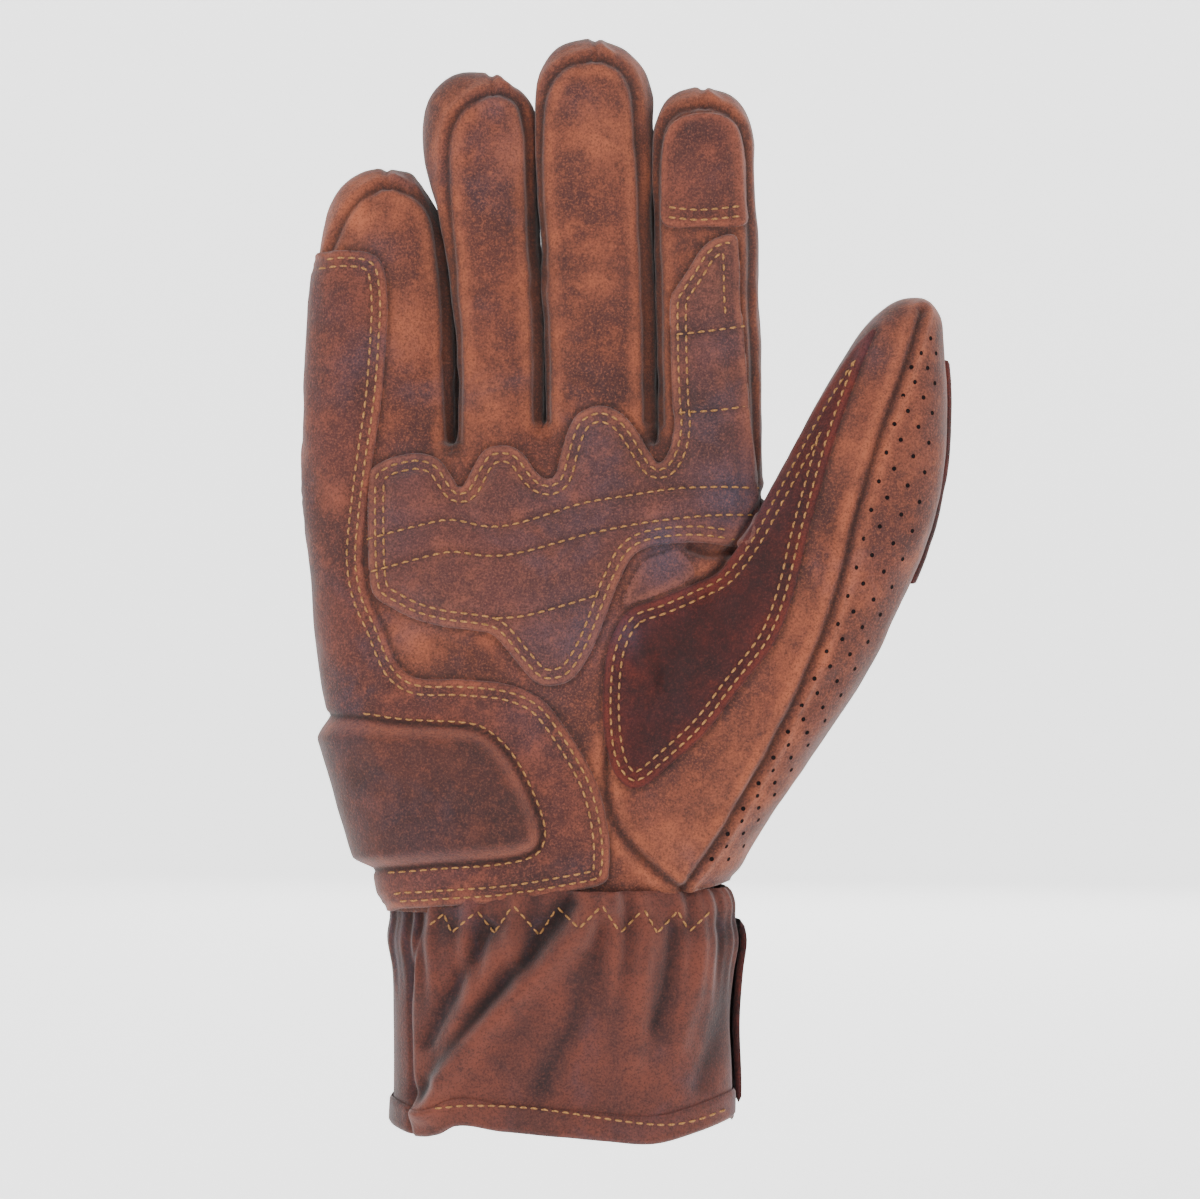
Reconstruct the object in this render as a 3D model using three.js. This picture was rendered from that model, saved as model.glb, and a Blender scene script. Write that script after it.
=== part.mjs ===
// A man's short-cuff leather riding glove for the right hand, standing as it is worn: fingers up (+Z), palm
// towards -Y, thumb towards +X. The origin is the middle of the hand opening, at the hem. Millimetres.
//
// Every wall is a panel cut from a few smooth surfaces: a hand sleeve, a cuff, four finger tubes and a thumb
// tube, each a stack of rounded cross-sections. Panels meet along seams with a small gap, and fingers are
// cut with a wedge on the palm side at each knuckle so that they can bend.
import * as THREE from "three";

// ---------------------------------------------------------------- driving sizes
const leather = 1.4; // main hide
const overlayLeather = 1.2; // reinforcement patches
const seamGap = 0.4; // between neighbouring pieces
const overlayGap = 0.6; // under a patch
const sectionPower = 2.8; // roundness of every cross-section: 2 is an ellipse

const cuffHeight = 54; // hem to wrist seam
const cuffWidth = 80;
const cuffDepth = 50;
const hemHeight = 8;
const wristWidth = 81;
const wristDepth = 40;
const elasticHeight = 7;
const elasticThickness = 1;
const elasticBelowSeam = 3;

const palmLength = 106; // wrist seam to the web beside the little finger
const palmFront = 18; // depth of the palm in front of the middle plane
const palmBack = 16;
const heelBulge = 7; // how far the little finger side swells past a straight line

const fingerGap = 1.6; // between neighbouring fingers at the web
const fingerTipHole = 0.14; // a tip's last ring, as a share of the finger's section
const bendMargin = 1.5; // degrees of clearance in each wedge
const baseBend = 60; // degrees
const middleBend = 75;
const basePivotRise = 6; // base knuckle above the web
const fingers = [
  { name: "little", baseWidth: 34.4, crownWidth: 28, crownShift: -1, depth: 21, webRise: 0, length: 65, bend: 31 },
  { name: "ring", baseWidth: 20.4, crownWidth: 24, crownShift: -4.5, depth: 21, webRise: 5, length: 81, bend: 34 },
  { name: "middle", baseWidth: 22, crownWidth: 24.4, crownShift: -1, depth: 22, webRise: 7, length: 87, bend: 36 },
  { name: "index", baseWidth: 25, crownWidth: 24, crownShift: 0, depth: 22, webRise: 6, length: 77, bend: 34 },
];

const thumbCrotch = 90; // above the wrist seam
const thumbLength = 141; // wrist seam to thumb tip
const thumbDepth = 27;
const thumbLean = 20; // degrees from upright
const thumbSwing = 25; // degrees
const thumbBend = 35;
const thumbKnuckle = 110; // above the wrist seam
const swingFoot = 30; // x of the thumb's swing axis at the wrist seam
const swingTop = 42; // and at the crotch
const swingDepth = -8; // y of that axis

const heelPadThickness = 3;
const flapHeight = 42;
const flapTop = 2; // below the wrist seam
const flapFreeEnd = 112; // degrees round the cuff from the thumb side, over the back
const flapSewnEnd = 2;
const tapeStart = 74; // degrees
const tapeThickness = 1; // each half of the hook-and-loop

// ---------------------------------------------------------------- helpers
const rad = THREE.MathUtils.degToRad;
const lerp = THREE.MathUtils.lerp;
const smooth = (t) => THREE.MathUtils.smoothstep(t, 0, 1);
const signedPower = (value, power) => Math.sign(value) * Math.abs(value) ** power;

// A smooth curve through [z, value] knots, level past both ends.
function profile(knots) {
  return (z) => {
    const last = knots.length - 1;
    if (z <= knots[0][0]) return knots[0][1];
    if (z >= knots[last][0]) return knots[last][1];
    const i = knots.findIndex((knot) => knot[0] > z) - 1;
    const slope = (k) => {
      const a = Math.max(k - 1, 0);
      const b = Math.min(k + 1, last);
      return (knots[b][1] - knots[a][1]) / (knots[b][0] - knots[a][0]);
    };
    const span = knots[i + 1][0] - knots[i][0];
    const t = (z - knots[i][0]) / span;
    const t2 = t * t;
    const t3 = t2 * t;
    return (
      (2 * t3 - 3 * t2 + 1) * knots[i][1] +
      (t3 - 2 * t2 + t) * span * slope(i) +
      (3 * t2 - 2 * t3) * knots[i + 1][1] +
      (t3 - t2) * span * slope(i + 1)
    );
  };
}

// A point of a rounded cross-section. The angle runs from +X through +Y (the back of the hand).
function sectionPoint({ left, right, front, back }, angle, z, lift = 0) {
  const half = (right - left) / 2 + lift;
  const depth = (Math.sin(angle) < 0 ? front : back) + lift;
  return new THREE.Vector3(
    (left + right) / 2 + half * signedPower(Math.cos(angle), 2 / sectionPower),
    depth * signedPower(Math.sin(angle), 2 / sectionPower),
    z,
  );
}

// The section angle of the front or back wall at a given x.
function angleAt({ left, right }, x, side) {
  const share = THREE.MathUtils.clamp((x - (left + right) / 2) / ((right - left) / 2), -0.9999, 0.9999);
  return side * Math.acos(signedPower(share, sectionPower / 2));
}
const FRONT = -1;
const BACK = 1;

// A closed plate: a grid of points on a surface and the same grid moved inwards by the thickness.
// surface(u, v, lift) gives a point for u and v from 0 to 1, lifted outwards by lift.
function plate(surface, { rows, columns, lift = 0, thickness = leather }) {
  const outer = [];
  const inner = [];
  const step = 1e-3;
  for (let i = 0; i <= rows; i++) {
    for (let j = 0; j <= columns; j++) {
      const u = i / rows;
      const v = j / columns;
      const point = surface(u, v, lift);
      const alongU = surface(Math.min(u + step, 1), v, lift).sub(surface(Math.max(u - step, 0), v, lift));
      const alongV = surface(u, Math.min(v + step, 1), lift).sub(surface(u, Math.max(v - step, 0), lift));
      const normal = alongV.cross(alongU).normalize();
      outer.push(point);
      inner.push(point.clone().addScaledVector(normal, -thickness));
    }
  }
  const points = [...outer, ...inner];
  const count = outer.length;
  const at = (i, j, side) => side * count + i * (columns + 1) + j;
  const index = [];
  const quad = (a, b, c, d) => index.push(a, b, c, a, c, d);
  for (let i = 0; i < rows; i++)
    for (let j = 0; j < columns; j++) {
      quad(at(i, j, 0), at(i, j + 1, 0), at(i + 1, j + 1, 0), at(i + 1, j, 0));
      quad(at(i, j, 1), at(i + 1, j, 1), at(i + 1, j + 1, 1), at(i, j + 1, 1));
    }
  for (let i = 0; i < rows; i++) {
    quad(at(i, 0, 0), at(i + 1, 0, 0), at(i + 1, 0, 1), at(i, 0, 1));
    quad(at(i, columns, 0), at(i, columns, 1), at(i + 1, columns, 1), at(i + 1, columns, 0));
  }
  for (let j = 0; j < columns; j++) {
    quad(at(0, j, 0), at(0, j, 1), at(0, j + 1, 1), at(0, j + 1, 0));
    quad(at(rows, j, 0), at(rows, j + 1, 0), at(rows, j + 1, 1), at(rows, j, 1));
  }
  const geometry = new THREE.BufferGeometry().setFromPoints(points);
  geometry.setIndex(index);
  return geometry;
}

// ---------------------------------------------------------------- colours
const finish = (colour, roughness = 0.85) =>
  new THREE.MeshStandardMaterial({ color: colour, roughness, metalness: 0 });
const tan = finish(0x8a4a2c);
const brown = finish(0x6f4038);
const dark = finish(0x553030);
const black = finish(0x1c1a1a, 0.95);
const foamGrey = finish(0x4c4a4a, 1);

const glove = new THREE.Group();
function add(name, geometry, material) {
  const mesh = new THREE.Mesh(geometry, material);
  mesh.name = name;
  glove.add(mesh);
}

// ---------------------------------------------------------------- layout of the fingers
const wristZ = cuffHeight;
const palmTop = wristZ + palmLength;
const handWidth = fingers.reduce((sum, finger) => sum + finger.baseWidth, 0) + fingerGap * (fingers.length - 1);
const handLeft = -handWidth / 2 - 7.5; // the fingers stand a little to the little finger's side of the cuff
const handRight = handLeft + handWidth;
let edge = handLeft;
for (const finger of fingers) {
  finger.left = edge;
  finger.right = edge + finger.baseWidth;
  edge = finger.right + fingerGap;
  finger.web = palmTop + finger.webRise;
  finger.tip = finger.web + finger.length;
  finger.basePivot = finger.web + basePivotRise;
  finger.bendPivot = finger.web + finger.bend;
}
// The height of the web line at x: each finger's web at its middle, smooth between them.
const webLine = profile(fingers.map((finger) => [(finger.left + finger.right) / 2, finger.web]));

// ---------------------------------------------------------------- hand sleeve
const handLeftEdge = profile([
  [wristZ, -wristWidth / 2],
  [wristZ + 15, lerp(-wristWidth / 2, handLeft, 0.3) - heelBulge / 2],
  [wristZ + 42, lerp(-wristWidth / 2, handLeft, 0.5) - heelBulge * 0.7],
  [wristZ + 80, handLeft + 1.5],
  [palmTop, handLeft],
]);
// Outer edge of the hand with the thumb on it.
const thumbOuter = profile([
  [wristZ, wristWidth / 2 - 2],
  [wristZ + 16, wristWidth / 2 + 5.5],
  [wristZ + 44, wristWidth / 2 + 25],
  [wristZ + 70, wristWidth / 2 + 38],
  [wristZ + 96, wristWidth / 2 + 45],
  [wristZ + 120, wristWidth / 2 + 47],
  [wristZ + thumbLength, wristWidth / 2 + 46],
]);
const crotchZ = wristZ + thumbCrotch;
const thumbMerge = 26; // height over which the thumb's tube opens into the hand
const thumbInner = profile([
  [crotchZ, handRight + 2],
  [crotchZ + 21, handRight + 9],
  [crotchZ + 34, handRight + 16],
  [wristZ + thumbLength, handRight + 28],
]);
const merged = (z) => smooth((crotchZ - z) / thumbMerge);
const depthAt = (deep) =>
  profile([
    [wristZ, wristDepth / 2],
    [wristZ + 22, deep + 2],
    [palmTop - 30, deep],
    [palmTop + 8, Math.min(deep, 12.5)],
  ]);
const frontDepth = depthAt(palmFront);
const backDepth = depthAt(palmBack);
const palmSection = (z) => ({
  left: handLeftEdge(z),
  right: lerp(handRight, thumbOuter(z), merged(z)),
  front: frontDepth(z),
  back: backDepth(z),
});
const thumbTip = wristZ + thumbLength;
const thumbDome = 30; // height of the rounded end
const tipHole = (climb) => Math.max((1 - climb ** 2.5) ** 0.4, fingerTipHole);
const thumbSection = (z) => {
  const round = tipHole(THREE.MathUtils.clamp((z - (thumbTip - thumbDome)) / thumbDome, 0, 1));
  const left = lerp(thumbInner(z), handLeftEdge(z), merged(z));
  const right = thumbOuter(z);
  const half = ((right - left) / 2) * round;
  return {
    left: (left + right) / 2 - half,
    right: (left + right) / 2 + half,
    front: lerp(thumbDepth / 2, frontDepth(z), merged(z)) * round,
    back: lerp(thumbDepth / 2, backDepth(z), merged(z)) * round,
  };
};

// A wall between two section angles, which may change with height.
const constant = (value) => () => value;
function bandWall(section, lowAngle, highAngle, lowZ, highZ) {
  return (u, v, lift) => {
    const z = lerp(lowZ, highZ, u);
    return sectionPoint(section(z), lerp(lowAngle(z), highAngle(z), v), z, lift);
  };
}
// A front or back wall of the hand between two x limits and two height limits.
function handWall(side, leftX, rightX, lowZ, highZ) {
  return (u, v, lift) => {
    const across = side === FRONT ? v : 1 - v;
    const roughZ = lerp(lowZ(0), highZ(0), u);
    const roughX = lerp(leftX(roughZ), rightX(roughZ), across);
    const z = lerp(lowZ(roughX), highZ(roughX), u);
    const wall = palmSection(z);
    return sectionPoint(wall, angleAt(wall, lerp(leftX(z), rightX(z), across), side), z, lift);
  };
}
const cornerShare = 0.8; // where front and back walls meet the side walls, as a share of the half width
const cornerX = (sign) => (z) => {
  const { left, right } = palmSection(z);
  return (left + right) / 2 + (sign * cornerShare * (right - left)) / 2;
};
const leftCorner = cornerX(-1);
const rightCorner = cornerX(1);

// ---------------------------------------------------------------- palm and back of the hand
const wedge = (degrees) => Math.tan(rad(degrees / 2 + bendMargin));
const swingX = profile([
  [wristZ, swingFoot],
  [crotchZ, swingTop],
  [crotchZ + 60, swingTop + 8],
]);
const swingWedge = (palmFront + 4 + swingDepth) * wedge(thumbSwing);
const swingSlack = 0.5;
const keystoneSeam = profile([
  [wristZ, 22],
  [wristZ + 9, 16],
  [wristZ + 25, 9.5],
  [wristZ + 60, 8.5],
  [crotchZ - 22, 16],
  [crotchZ - 8, 30],
  [crotchZ, 35],
  [palmTop, 40],
]);
const patchTop = crotchZ - 8;
const baseWedgeDrop = (fingers[2].depth / 2 + overlayLeather + overlayGap + 1.5) * wedge(baseBend);
const frontTop = (x) => webLine(x) + basePivotRise - baseWedgeDrop;
const backTop = (x) => webLine(x) + basePivotRise - 2 * seamGap;
const palmFoot = constant(wristZ + seamGap);
const palmLeft = (z) => leftCorner(z) + seamGap / 2;
const rowPitch = 7.6; // how finely the long panels are divided
const grid = { rows: Math.round(palmLength / rowPitch), columns: 14 };

const palmRight = (z) => Math.min(keystoneSeam(z), rightCorner(z)) - seamGap / 2;

add("palm_panel", plate(handWall(FRONT, palmLeft, palmRight, palmFoot, frontTop), grid), tan);
const backRight = (z) => Math.min(swingX(z) - swingSlack, rightCorner(z) - seamGap / 2);
add("back_panel", plate(handWall(BACK, palmLeft, backRight, palmFoot, backTop), grid), brown);
const sideAngle = Math.acos(cornerShare ** (sectionPower / 2)) - rad(0.5);
add(
  "little_edge_wall",
  plate(
    bandWall(
      palmSection,
      constant(Math.PI - sideAngle),
      constant(Math.PI + sideAngle),
      wristZ + seamGap,
      fingers[0].basePivot - baseWedgeDrop,
    ),
    { rows: 14, columns: 6 },
  ),
  brown,
);
add(
  "index_edge_wall",
  plate(
    bandWall(
      palmSection,
      constant(-sideAngle + rad(1)),
      constant(sideAngle - rad(1)),
      crotchZ + 3,
      fingers[3].basePivot - baseWedgeDrop,
    ),
    { rows: 3, columns: 4 },
  ),
  brown,
);
add(
  "thumb_patch_palm",
  plate(
    handWall(
      FRONT,
      (z) => keystoneSeam(z) + 3 * seamGap,
      (z) => swingX(z) - swingWedge,
      palmFoot,
      constant(patchTop),
    ),
    { rows: 12, columns: 4 },
  ),
  dark,
);

// ---------------------------------------------------------------- overlays on the palm
// The foam heel pad lies on the palm, and the outer edge overlay swells over it.
const heelPad = { left: -40, right: -9, low: wristZ + 12, high: wristZ + 44, rim: 4, fade: 6 };
const rise = (value, low, high) =>
  smooth((value - low + heelPad.rim + heelPad.fade) / heelPad.fade) *
  smooth((high + heelPad.rim + heelPad.fade - value) / heelPad.fade);
const heelLift = (x, z) =>
  (heelPadThickness + overlayGap) *
  rise(x, heelPad.left - 4, heelPad.right) *
  rise(z, heelPad.low, heelPad.high);
add(
  "heel_pad_foam",
  plate(
    handWall(
      FRONT,
      constant(heelPad.left),
      constant(heelPad.right),
      constant(heelPad.low),
      constant(heelPad.high),
    ),
    { rows: 5, columns: 6, lift: overlayGap + heelPadThickness, thickness: heelPadThickness },
  ),
  foamGrey,
);
const overlayInnerEdge = profile([
  [wristZ + 4, 7],
  [wristZ + 14, 8.5],
  [wristZ + 30, 5.5],
  [wristZ + 42, -2],
  [wristZ + 48, -14],
  [wristZ + 54, -38],
  [wristZ + 64, -44.5],
  [wristZ + 76, -47],
  [palmTop, -47],
]);
const overlayTop = fingers[0].basePivot - baseWedgeDrop - 1;
add(
  "outer_edge_overlay",
  plate(
    (u, v, lift) => {
      const z = lerp(wristZ + 4, overlayTop, u);
      const wall = palmSection(z);
      const angle = lerp(-Math.PI, angleAt(wall, overlayInnerEdge(z) - 2, FRONT), v);
      const base = sectionPoint(wall, angle, z, 0);
      return sectionPoint(wall, angle, z, lift + heelLift(base.x, z));
    },
    { rows: 18, columns: 14, lift: overlayGap + overlayLeather, thickness: overlayLeather },
  ),
  brown,
);

// The grip patch is scalloped along its lower edge.
const gripLeft = -44;
const gripRight = 37;
const gripLower = profile([
  [gripLeft, palmTop - 31],
  [-30, palmTop - 37],
  [-15, palmTop - 39],
  [-9, palmTop - 45],
  [-3, palmTop - 52],
  [3, palmTop - 48],
  [8, palmTop - 34],
  [15, palmTop - 24],
  [24, palmTop - 21],
  [gripRight, palmTop - 20],
]);
add(
  "grip_patch",
  plate(handWall(FRONT, constant(gripLeft), constant(gripRight), gripLower, (x) => frontTop(x) - 1), {
    rows: 8,
    columns: 20,
    lift: overlayGap + overlayLeather,
    thickness: overlayLeather,
  }),
  brown,
);

// ---------------------------------------------------------------- cuff, elastic and closure flap
const cuffSection = (z) => {
  const t = smooth(z / cuffHeight);
  return {
    left: lerp(-cuffWidth / 2, -wristWidth / 2, t),
    right: lerp(cuffWidth / 2, wristWidth / 2 - 2, t),
    front: lerp(cuffDepth / 2, wristDepth / 2, t),
    back: lerp(cuffDepth / 2, wristDepth / 2, t),
  };
};
const band = (from, to, lowZ, highZ) => bandWall(cuffSection, constant(rad(from)), constant(rad(to)), lowZ, highZ);
for (const [side, start, colour] of [
  ["front", 180, tan],
  ["back", 0, brown],
]) {
  const from = start + 1;
  const to = start + 179;
  add(`cuff_${side}`, plate(band(from, to, 0, cuffHeight - seamGap), { rows: 5, columns: 20 }), colour);
  add(
    `hem_${side}`,
    plate(band(from, to, 0, hemHeight), {
      rows: 1,
      columns: 20,
      lift: overlayGap + overlayLeather,
      thickness: overlayLeather,
    }),
    dark,
  );
}
const elasticTop = cuffHeight - elasticBelowSeam;
add(
  "wrist_elastic",
  plate(band(200, 340, elasticTop - elasticHeight, elasticTop), {
    rows: 2,
    columns: 20,
    lift: -leather - overlayGap - 0.4,
    thickness: elasticThickness,
  }),
  black,
);
const flapHigh = cuffHeight - flapTop;
const flapLow = Math.max(flapHigh - flapHeight, hemHeight + 2 * overlayGap);
const tapeEnd = flapFreeEnd - 5;
const tapeMargin = 3; // flap leather left above and below the tape
for (const [name, level] of [
  ["loop_tape", 1],
  ["hook_tape", 2],
])
  add(
    name,
    plate(band(tapeStart, tapeEnd, flapLow + tapeMargin, flapHigh - tapeMargin), {
      rows: 5,
      columns: 6,
      lift: level * (overlayGap + tapeThickness),
      thickness: tapeThickness,
    }),
    black,
  );
const flapLift = 3 * overlayGap + 2 * tapeThickness + leather;
add(
  "closure_flap",
  plate(band(flapSewnEnd, flapFreeEnd, flapLow, flapHigh), { rows: 5, columns: 16, lift: flapLift }),
  dark,
);

// ---------------------------------------------------------------- fingers
// A finger's cross-section, rounded off over the tip.
function fingerSection(finger) {
  const baseCentre = (finger.left + finger.right) / 2;
  const dome = finger.crownWidth * 0.55;
  return (z) => {
    const t = smooth((z - finger.web - 20) / (finger.length - 42));
    const centre = baseCentre + finger.crownShift * t;
    const round = tipHole(THREE.MathUtils.clamp((z - finger.tip + dome) / dome, 0, 1));
    const half = (lerp(finger.baseWidth, finger.crownWidth, t) / 2) * round;
    const depth = (finger.depth / 2) * round;
    return { left: centre - half, right: centre + half, front: depth, back: depth };
  };
}
// A wall of a tube between two section angles. Each end is a height for a point on the section there.
function tubeWall(section, from, to, low, high) {
  return (u, v, lift) => {
    const angle = (z) => lerp(from(z), to(z), v);
    const start = low(angle, lift);
    const end = high(angle, lift);
    const along = high.dome ? Math.sin((u * Math.PI) / 2) : u;
    const z = lerp(start, end, along);
    return sectionPoint(section(z), angle(z), z, lift);
  };
}
// The end of a wall at a knuckle: level on the back, and sloping away from the bend in front.
// sign is 1 above the knuckle and -1 below it.
function knuckleEnd(section, pivot, degrees, sign) {
  return (angle, lift) => {
    const point = sectionPoint(section(pivot), angle(pivot), pivot, lift);
    return pivot + sign * (seamGap + Math.max(0, -point.y) * wedge(degrees));
  };
}
const levelEnd = (z) => () => z;
function domeEnd(tip) {
  const end = levelEnd(tip - 0.1);
  end.dome = true;
  return end;
}
const wallAngles = {
  front: [-135, -45],
  right: [-45, 45],
  back: [45, 135],
  left: [135, 225],
};
const edges = ([from, to]) => [constant(rad(from + 1)), constant(rad(to - 1))];
const onTop = { lift: overlayGap + overlayLeather, thickness: overlayLeather };
for (const finger of fingers) {
  const section = fingerSection(finger);
  const baseLow = knuckleEnd(section, finger.basePivot, baseBend, 1);
  const baseHigh = knuckleEnd(section, finger.bendPivot, middleBend, -1);
  const tipLow = knuckleEnd(section, finger.bendPivot, middleBend, 1);
  for (const [wall, angles] of Object.entries(wallAngles)) {
    const colour = wall === "front" ? tan : brown;
    const outerSide = finger.name === "little" && wall === "left";
    const [baseName, tipName] = outerSide ? ["little_edge_lower", "little_edge_upper"] : ["base", "tip"];
    const named = (part) => (outerSide ? part : `${finger.name}_${part}_${wall}`);
    add(
      named(baseName),
      plate(tubeWall(section, ...edges(angles), baseLow, baseHigh), { rows: 2, columns: 3 }),
      colour,
    );
    add(
      named(tipName),
      plate(tubeWall(section, ...edges(angles), tipLow, domeEnd(finger.tip)), { rows: 7, columns: 3 }),
      colour,
    );
  }
  if (finger.name !== "index") continue;
  const strip = edges([-105, -45]);
  const stripTop = finger.bendPivot + 17;
  add(
    "index_grip_lower",
    plate(tubeWall(section, ...strip, baseLow, baseHigh), { rows: 2, columns: 2, ...onTop }),
    brown,
  );
  add(
    "index_grip_upper",
    plate(tubeWall(section, ...strip, tipLow, levelEnd(stripTop)), { rows: 2, columns: 2, ...onTop }),
    brown,
  );
  add(
    "index_tip_patch",
    plate(tubeWall(section, ...edges(wallAngles.front), levelEnd(stripTop + 3), levelEnd(finger.tip - 7)), {
      rows: 5,
      columns: 3,
      ...onTop,
    }),
    dark,
  );
}

// ---------------------------------------------------------------- thumb
// Its walls share out the arc from the swing line in front, round the thumb side, to the swing line behind.
const knuckleZ = wristZ + thumbKnuckle;
const frontLimit = (z) => angleAt(thumbSection(z), swingX(z) + swingWedge, FRONT);
const backLimit = (z) => angleAt(thumbSection(z), swingX(z) + swingSlack, BACK);
const thumbCentre = (thumbSection(knuckleZ).left + thumbSection(knuckleZ).right) / 2;
const lean = Math.tan(rad(thumbLean));
const padTurn = rad(20); // the thumb's pad faces this far round from the palm's direction
// The end of a wall at the thumb's knuckle, cut across the leaning thumb.
function thumbEnd(sign) {
  return (angle, lift) => {
    const point = sectionPoint(thumbSection(knuckleZ), angle(knuckleZ), knuckleZ, lift);
    const across = point.x - thumbCentre;
    const forward = Math.max(0, -point.y * Math.cos(padTurn) - across * Math.sin(padTurn));
    return knuckleZ - across * lean + sign * (seamGap + 0.4 + forward * wedge(thumbBend) * 1.15);
  };
}
const thumbWalls = [
  ["patch", 0, 0.28, dark],
  ["side_panel", 0.28, 0.4, tan],
  ["perforated_panel", 0.4, 0.62, brown],
  ["back_panel", 0.62, 1, brown],
];
const thumbFoot = wristZ + 4;
const foldGap = 0.006; // share of the arc between neighbouring walls
for (const [wall, from, to, colour] of thumbWalls) {
  const lower = (z) => lerp(frontLimit(z), backLimit(z), from + foldGap / 2);
  const upper = (z) => lerp(frontLimit(z), backLimit(z), to - foldGap / 2);
  const columns = Math.round((to - from) * 24);
  add(
    `thumb_base_${wall}`,
    plate(tubeWall(thumbSection, lower, upper, levelEnd(thumbFoot), thumbEnd(-1)), { rows: 12, columns }),
    colour,
  );
  add(
    `thumb_tip_${wall}`,
    plate(tubeWall(thumbSection, lower, upper, thumbEnd(1), domeEnd(thumbTip)), { rows: 6, columns }),
    colour,
  );
}

export default glove;
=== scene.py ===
import math
import bpy
import numpy as np
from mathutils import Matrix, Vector
from mathutils.bvhtree import BVHTree


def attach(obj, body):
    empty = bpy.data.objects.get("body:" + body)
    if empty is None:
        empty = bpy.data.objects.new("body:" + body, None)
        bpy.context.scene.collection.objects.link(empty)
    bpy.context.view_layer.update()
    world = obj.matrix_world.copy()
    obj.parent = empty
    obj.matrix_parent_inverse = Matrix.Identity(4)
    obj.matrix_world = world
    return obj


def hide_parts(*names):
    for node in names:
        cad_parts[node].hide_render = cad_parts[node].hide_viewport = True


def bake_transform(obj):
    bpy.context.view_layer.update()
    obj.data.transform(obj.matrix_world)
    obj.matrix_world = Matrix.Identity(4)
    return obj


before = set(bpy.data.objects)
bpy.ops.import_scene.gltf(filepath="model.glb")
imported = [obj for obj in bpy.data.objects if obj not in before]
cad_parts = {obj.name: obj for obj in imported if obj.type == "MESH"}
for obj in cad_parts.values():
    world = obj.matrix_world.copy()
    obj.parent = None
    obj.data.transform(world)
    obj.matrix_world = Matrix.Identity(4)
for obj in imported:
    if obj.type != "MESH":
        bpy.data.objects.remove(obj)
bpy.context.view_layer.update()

MM = 0.001

# ---- sizes, in millimetres
VOXEL = 0.8  # of the skin's mesh
PALM_END = 140.0  # height where the finger tubes and the webs' plugs start
PRESS = 0.6  # how far two fingers press into each other, on each side
CAMERA_X, CAMERA_Z = 7.6, 125.7  # the camera looks level at this point
CAMERA_DISTANCE = 900.0
FRAME_WIDTH = 276.0  # what the camera sees across at the glove
OVERLAY = 1.1  # how far a patch stands above the skin
HEEL_RISE = 3.8  # of the padded heel over the patch around it
QUILT_RISE = 1.0
LINING_DEPTH = 1.3  # how far a hidden lining lies under the skin
LEATHER = 1.4  # thickness of the skin's leather
STITCH_PITCH = 2.45
STITCH_LENGTH = 1.8
THREAD = 0.52  # thread diameter
ROW_INSET = 1.8  # first stitch row from a patch's edge
ROW_GAP = 1.9  # between the rows of a double seam
HOLE_RADIUS = 0.52
HOLE_PITCH = 6.8

# ---- curves and profiles


def profile(*knots):
    """A smooth function through (z, value) knots, level past both ends."""
    zs, vs = np.array(knots, float).T
    slopes = np.gradient(vs, zs)

    def value(z):
        z = np.clip(z, zs[0], zs[-1])
        i = np.clip(np.searchsorted(zs, z, side="right") - 1, 0, len(zs) - 2)
        span = zs[i + 1] - zs[i]
        t = (z - zs[i]) / span
        return (
            (2 * t**3 - 3 * t**2 + 1) * vs[i]
            + (t**3 - 2 * t**2 + t) * span * slopes[i]
            + (3 * t**2 - 2 * t**3) * vs[i + 1]
            + (t**3 - t**2) * span * slopes[i + 1]
        )

    return value


def smooth(t):
    t = np.clip(t, 0, 1)
    return t * t * (3 - 2 * t)


def bell(d, width):
    """1 at d = 0, falling to nothing over about two widths."""
    return np.exp(-((d / width) ** 2))


def curve(points, step=1.0, closed=False):
    """Catmull-Rom curve through the points, resampled to an even step."""
    p = np.array(points, float)
    if closed:
        p = np.vstack([p[-1], p, p[0], p[1]])
    else:
        p = np.vstack([2 * p[0] - p[1], p, 2 * p[-1] - p[-2]])
    out = []
    for a, b, c, d in zip(p, p[1:], p[2:], p[3:]):
        for t in np.linspace(0, 1, 9)[:-1]:
            square, cube = 2 * a - 5 * b + 4 * c - d, 3 * b - a - 3 * c + d
            out.append(0.5 * (2 * b + (c - a) * t + square * t * t + cube * t**3))
    out.append(p[-2])
    return resample(np.array(out), step)


def resample(p, step):
    lengths = np.concatenate([[0], np.cumsum(np.linalg.norm(np.diff(p, axis=0), axis=1))])
    count = max(2, int(round(lengths[-1] / step)) + 1)
    at = np.linspace(0, lengths[-1], count)
    return np.stack([np.interp(at, lengths, p[:, k]) for k in range(p.shape[1])], 1)


FAR = 12.0  # distances are measured up to this


def distance(points, line):
    """Distance of 2-D points to a polyline, FAR at most."""
    best = np.full(len(points), FAR**2)
    for i in range(0, len(line) - 1, 8):
        part = line[i : i + 9]
        low, high = part.min(0) - FAR, part.max(0) + FAR
        near = np.where(((points > low) & (points < high)).all(1))[0]
        p, least = points[near], best[near]
        for a, b in zip(part, part[1:]):
            ab = b - a
            t = np.clip(((p - a) @ ab) / max(ab @ ab, 1e-9), 0, 1)
            d = p - a - t[:, None] * ab
            least = np.minimum(least, d[:, 0] ** 2 + d[:, 1] ** 2)
        best[near] = least
    return np.sqrt(best)


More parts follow.
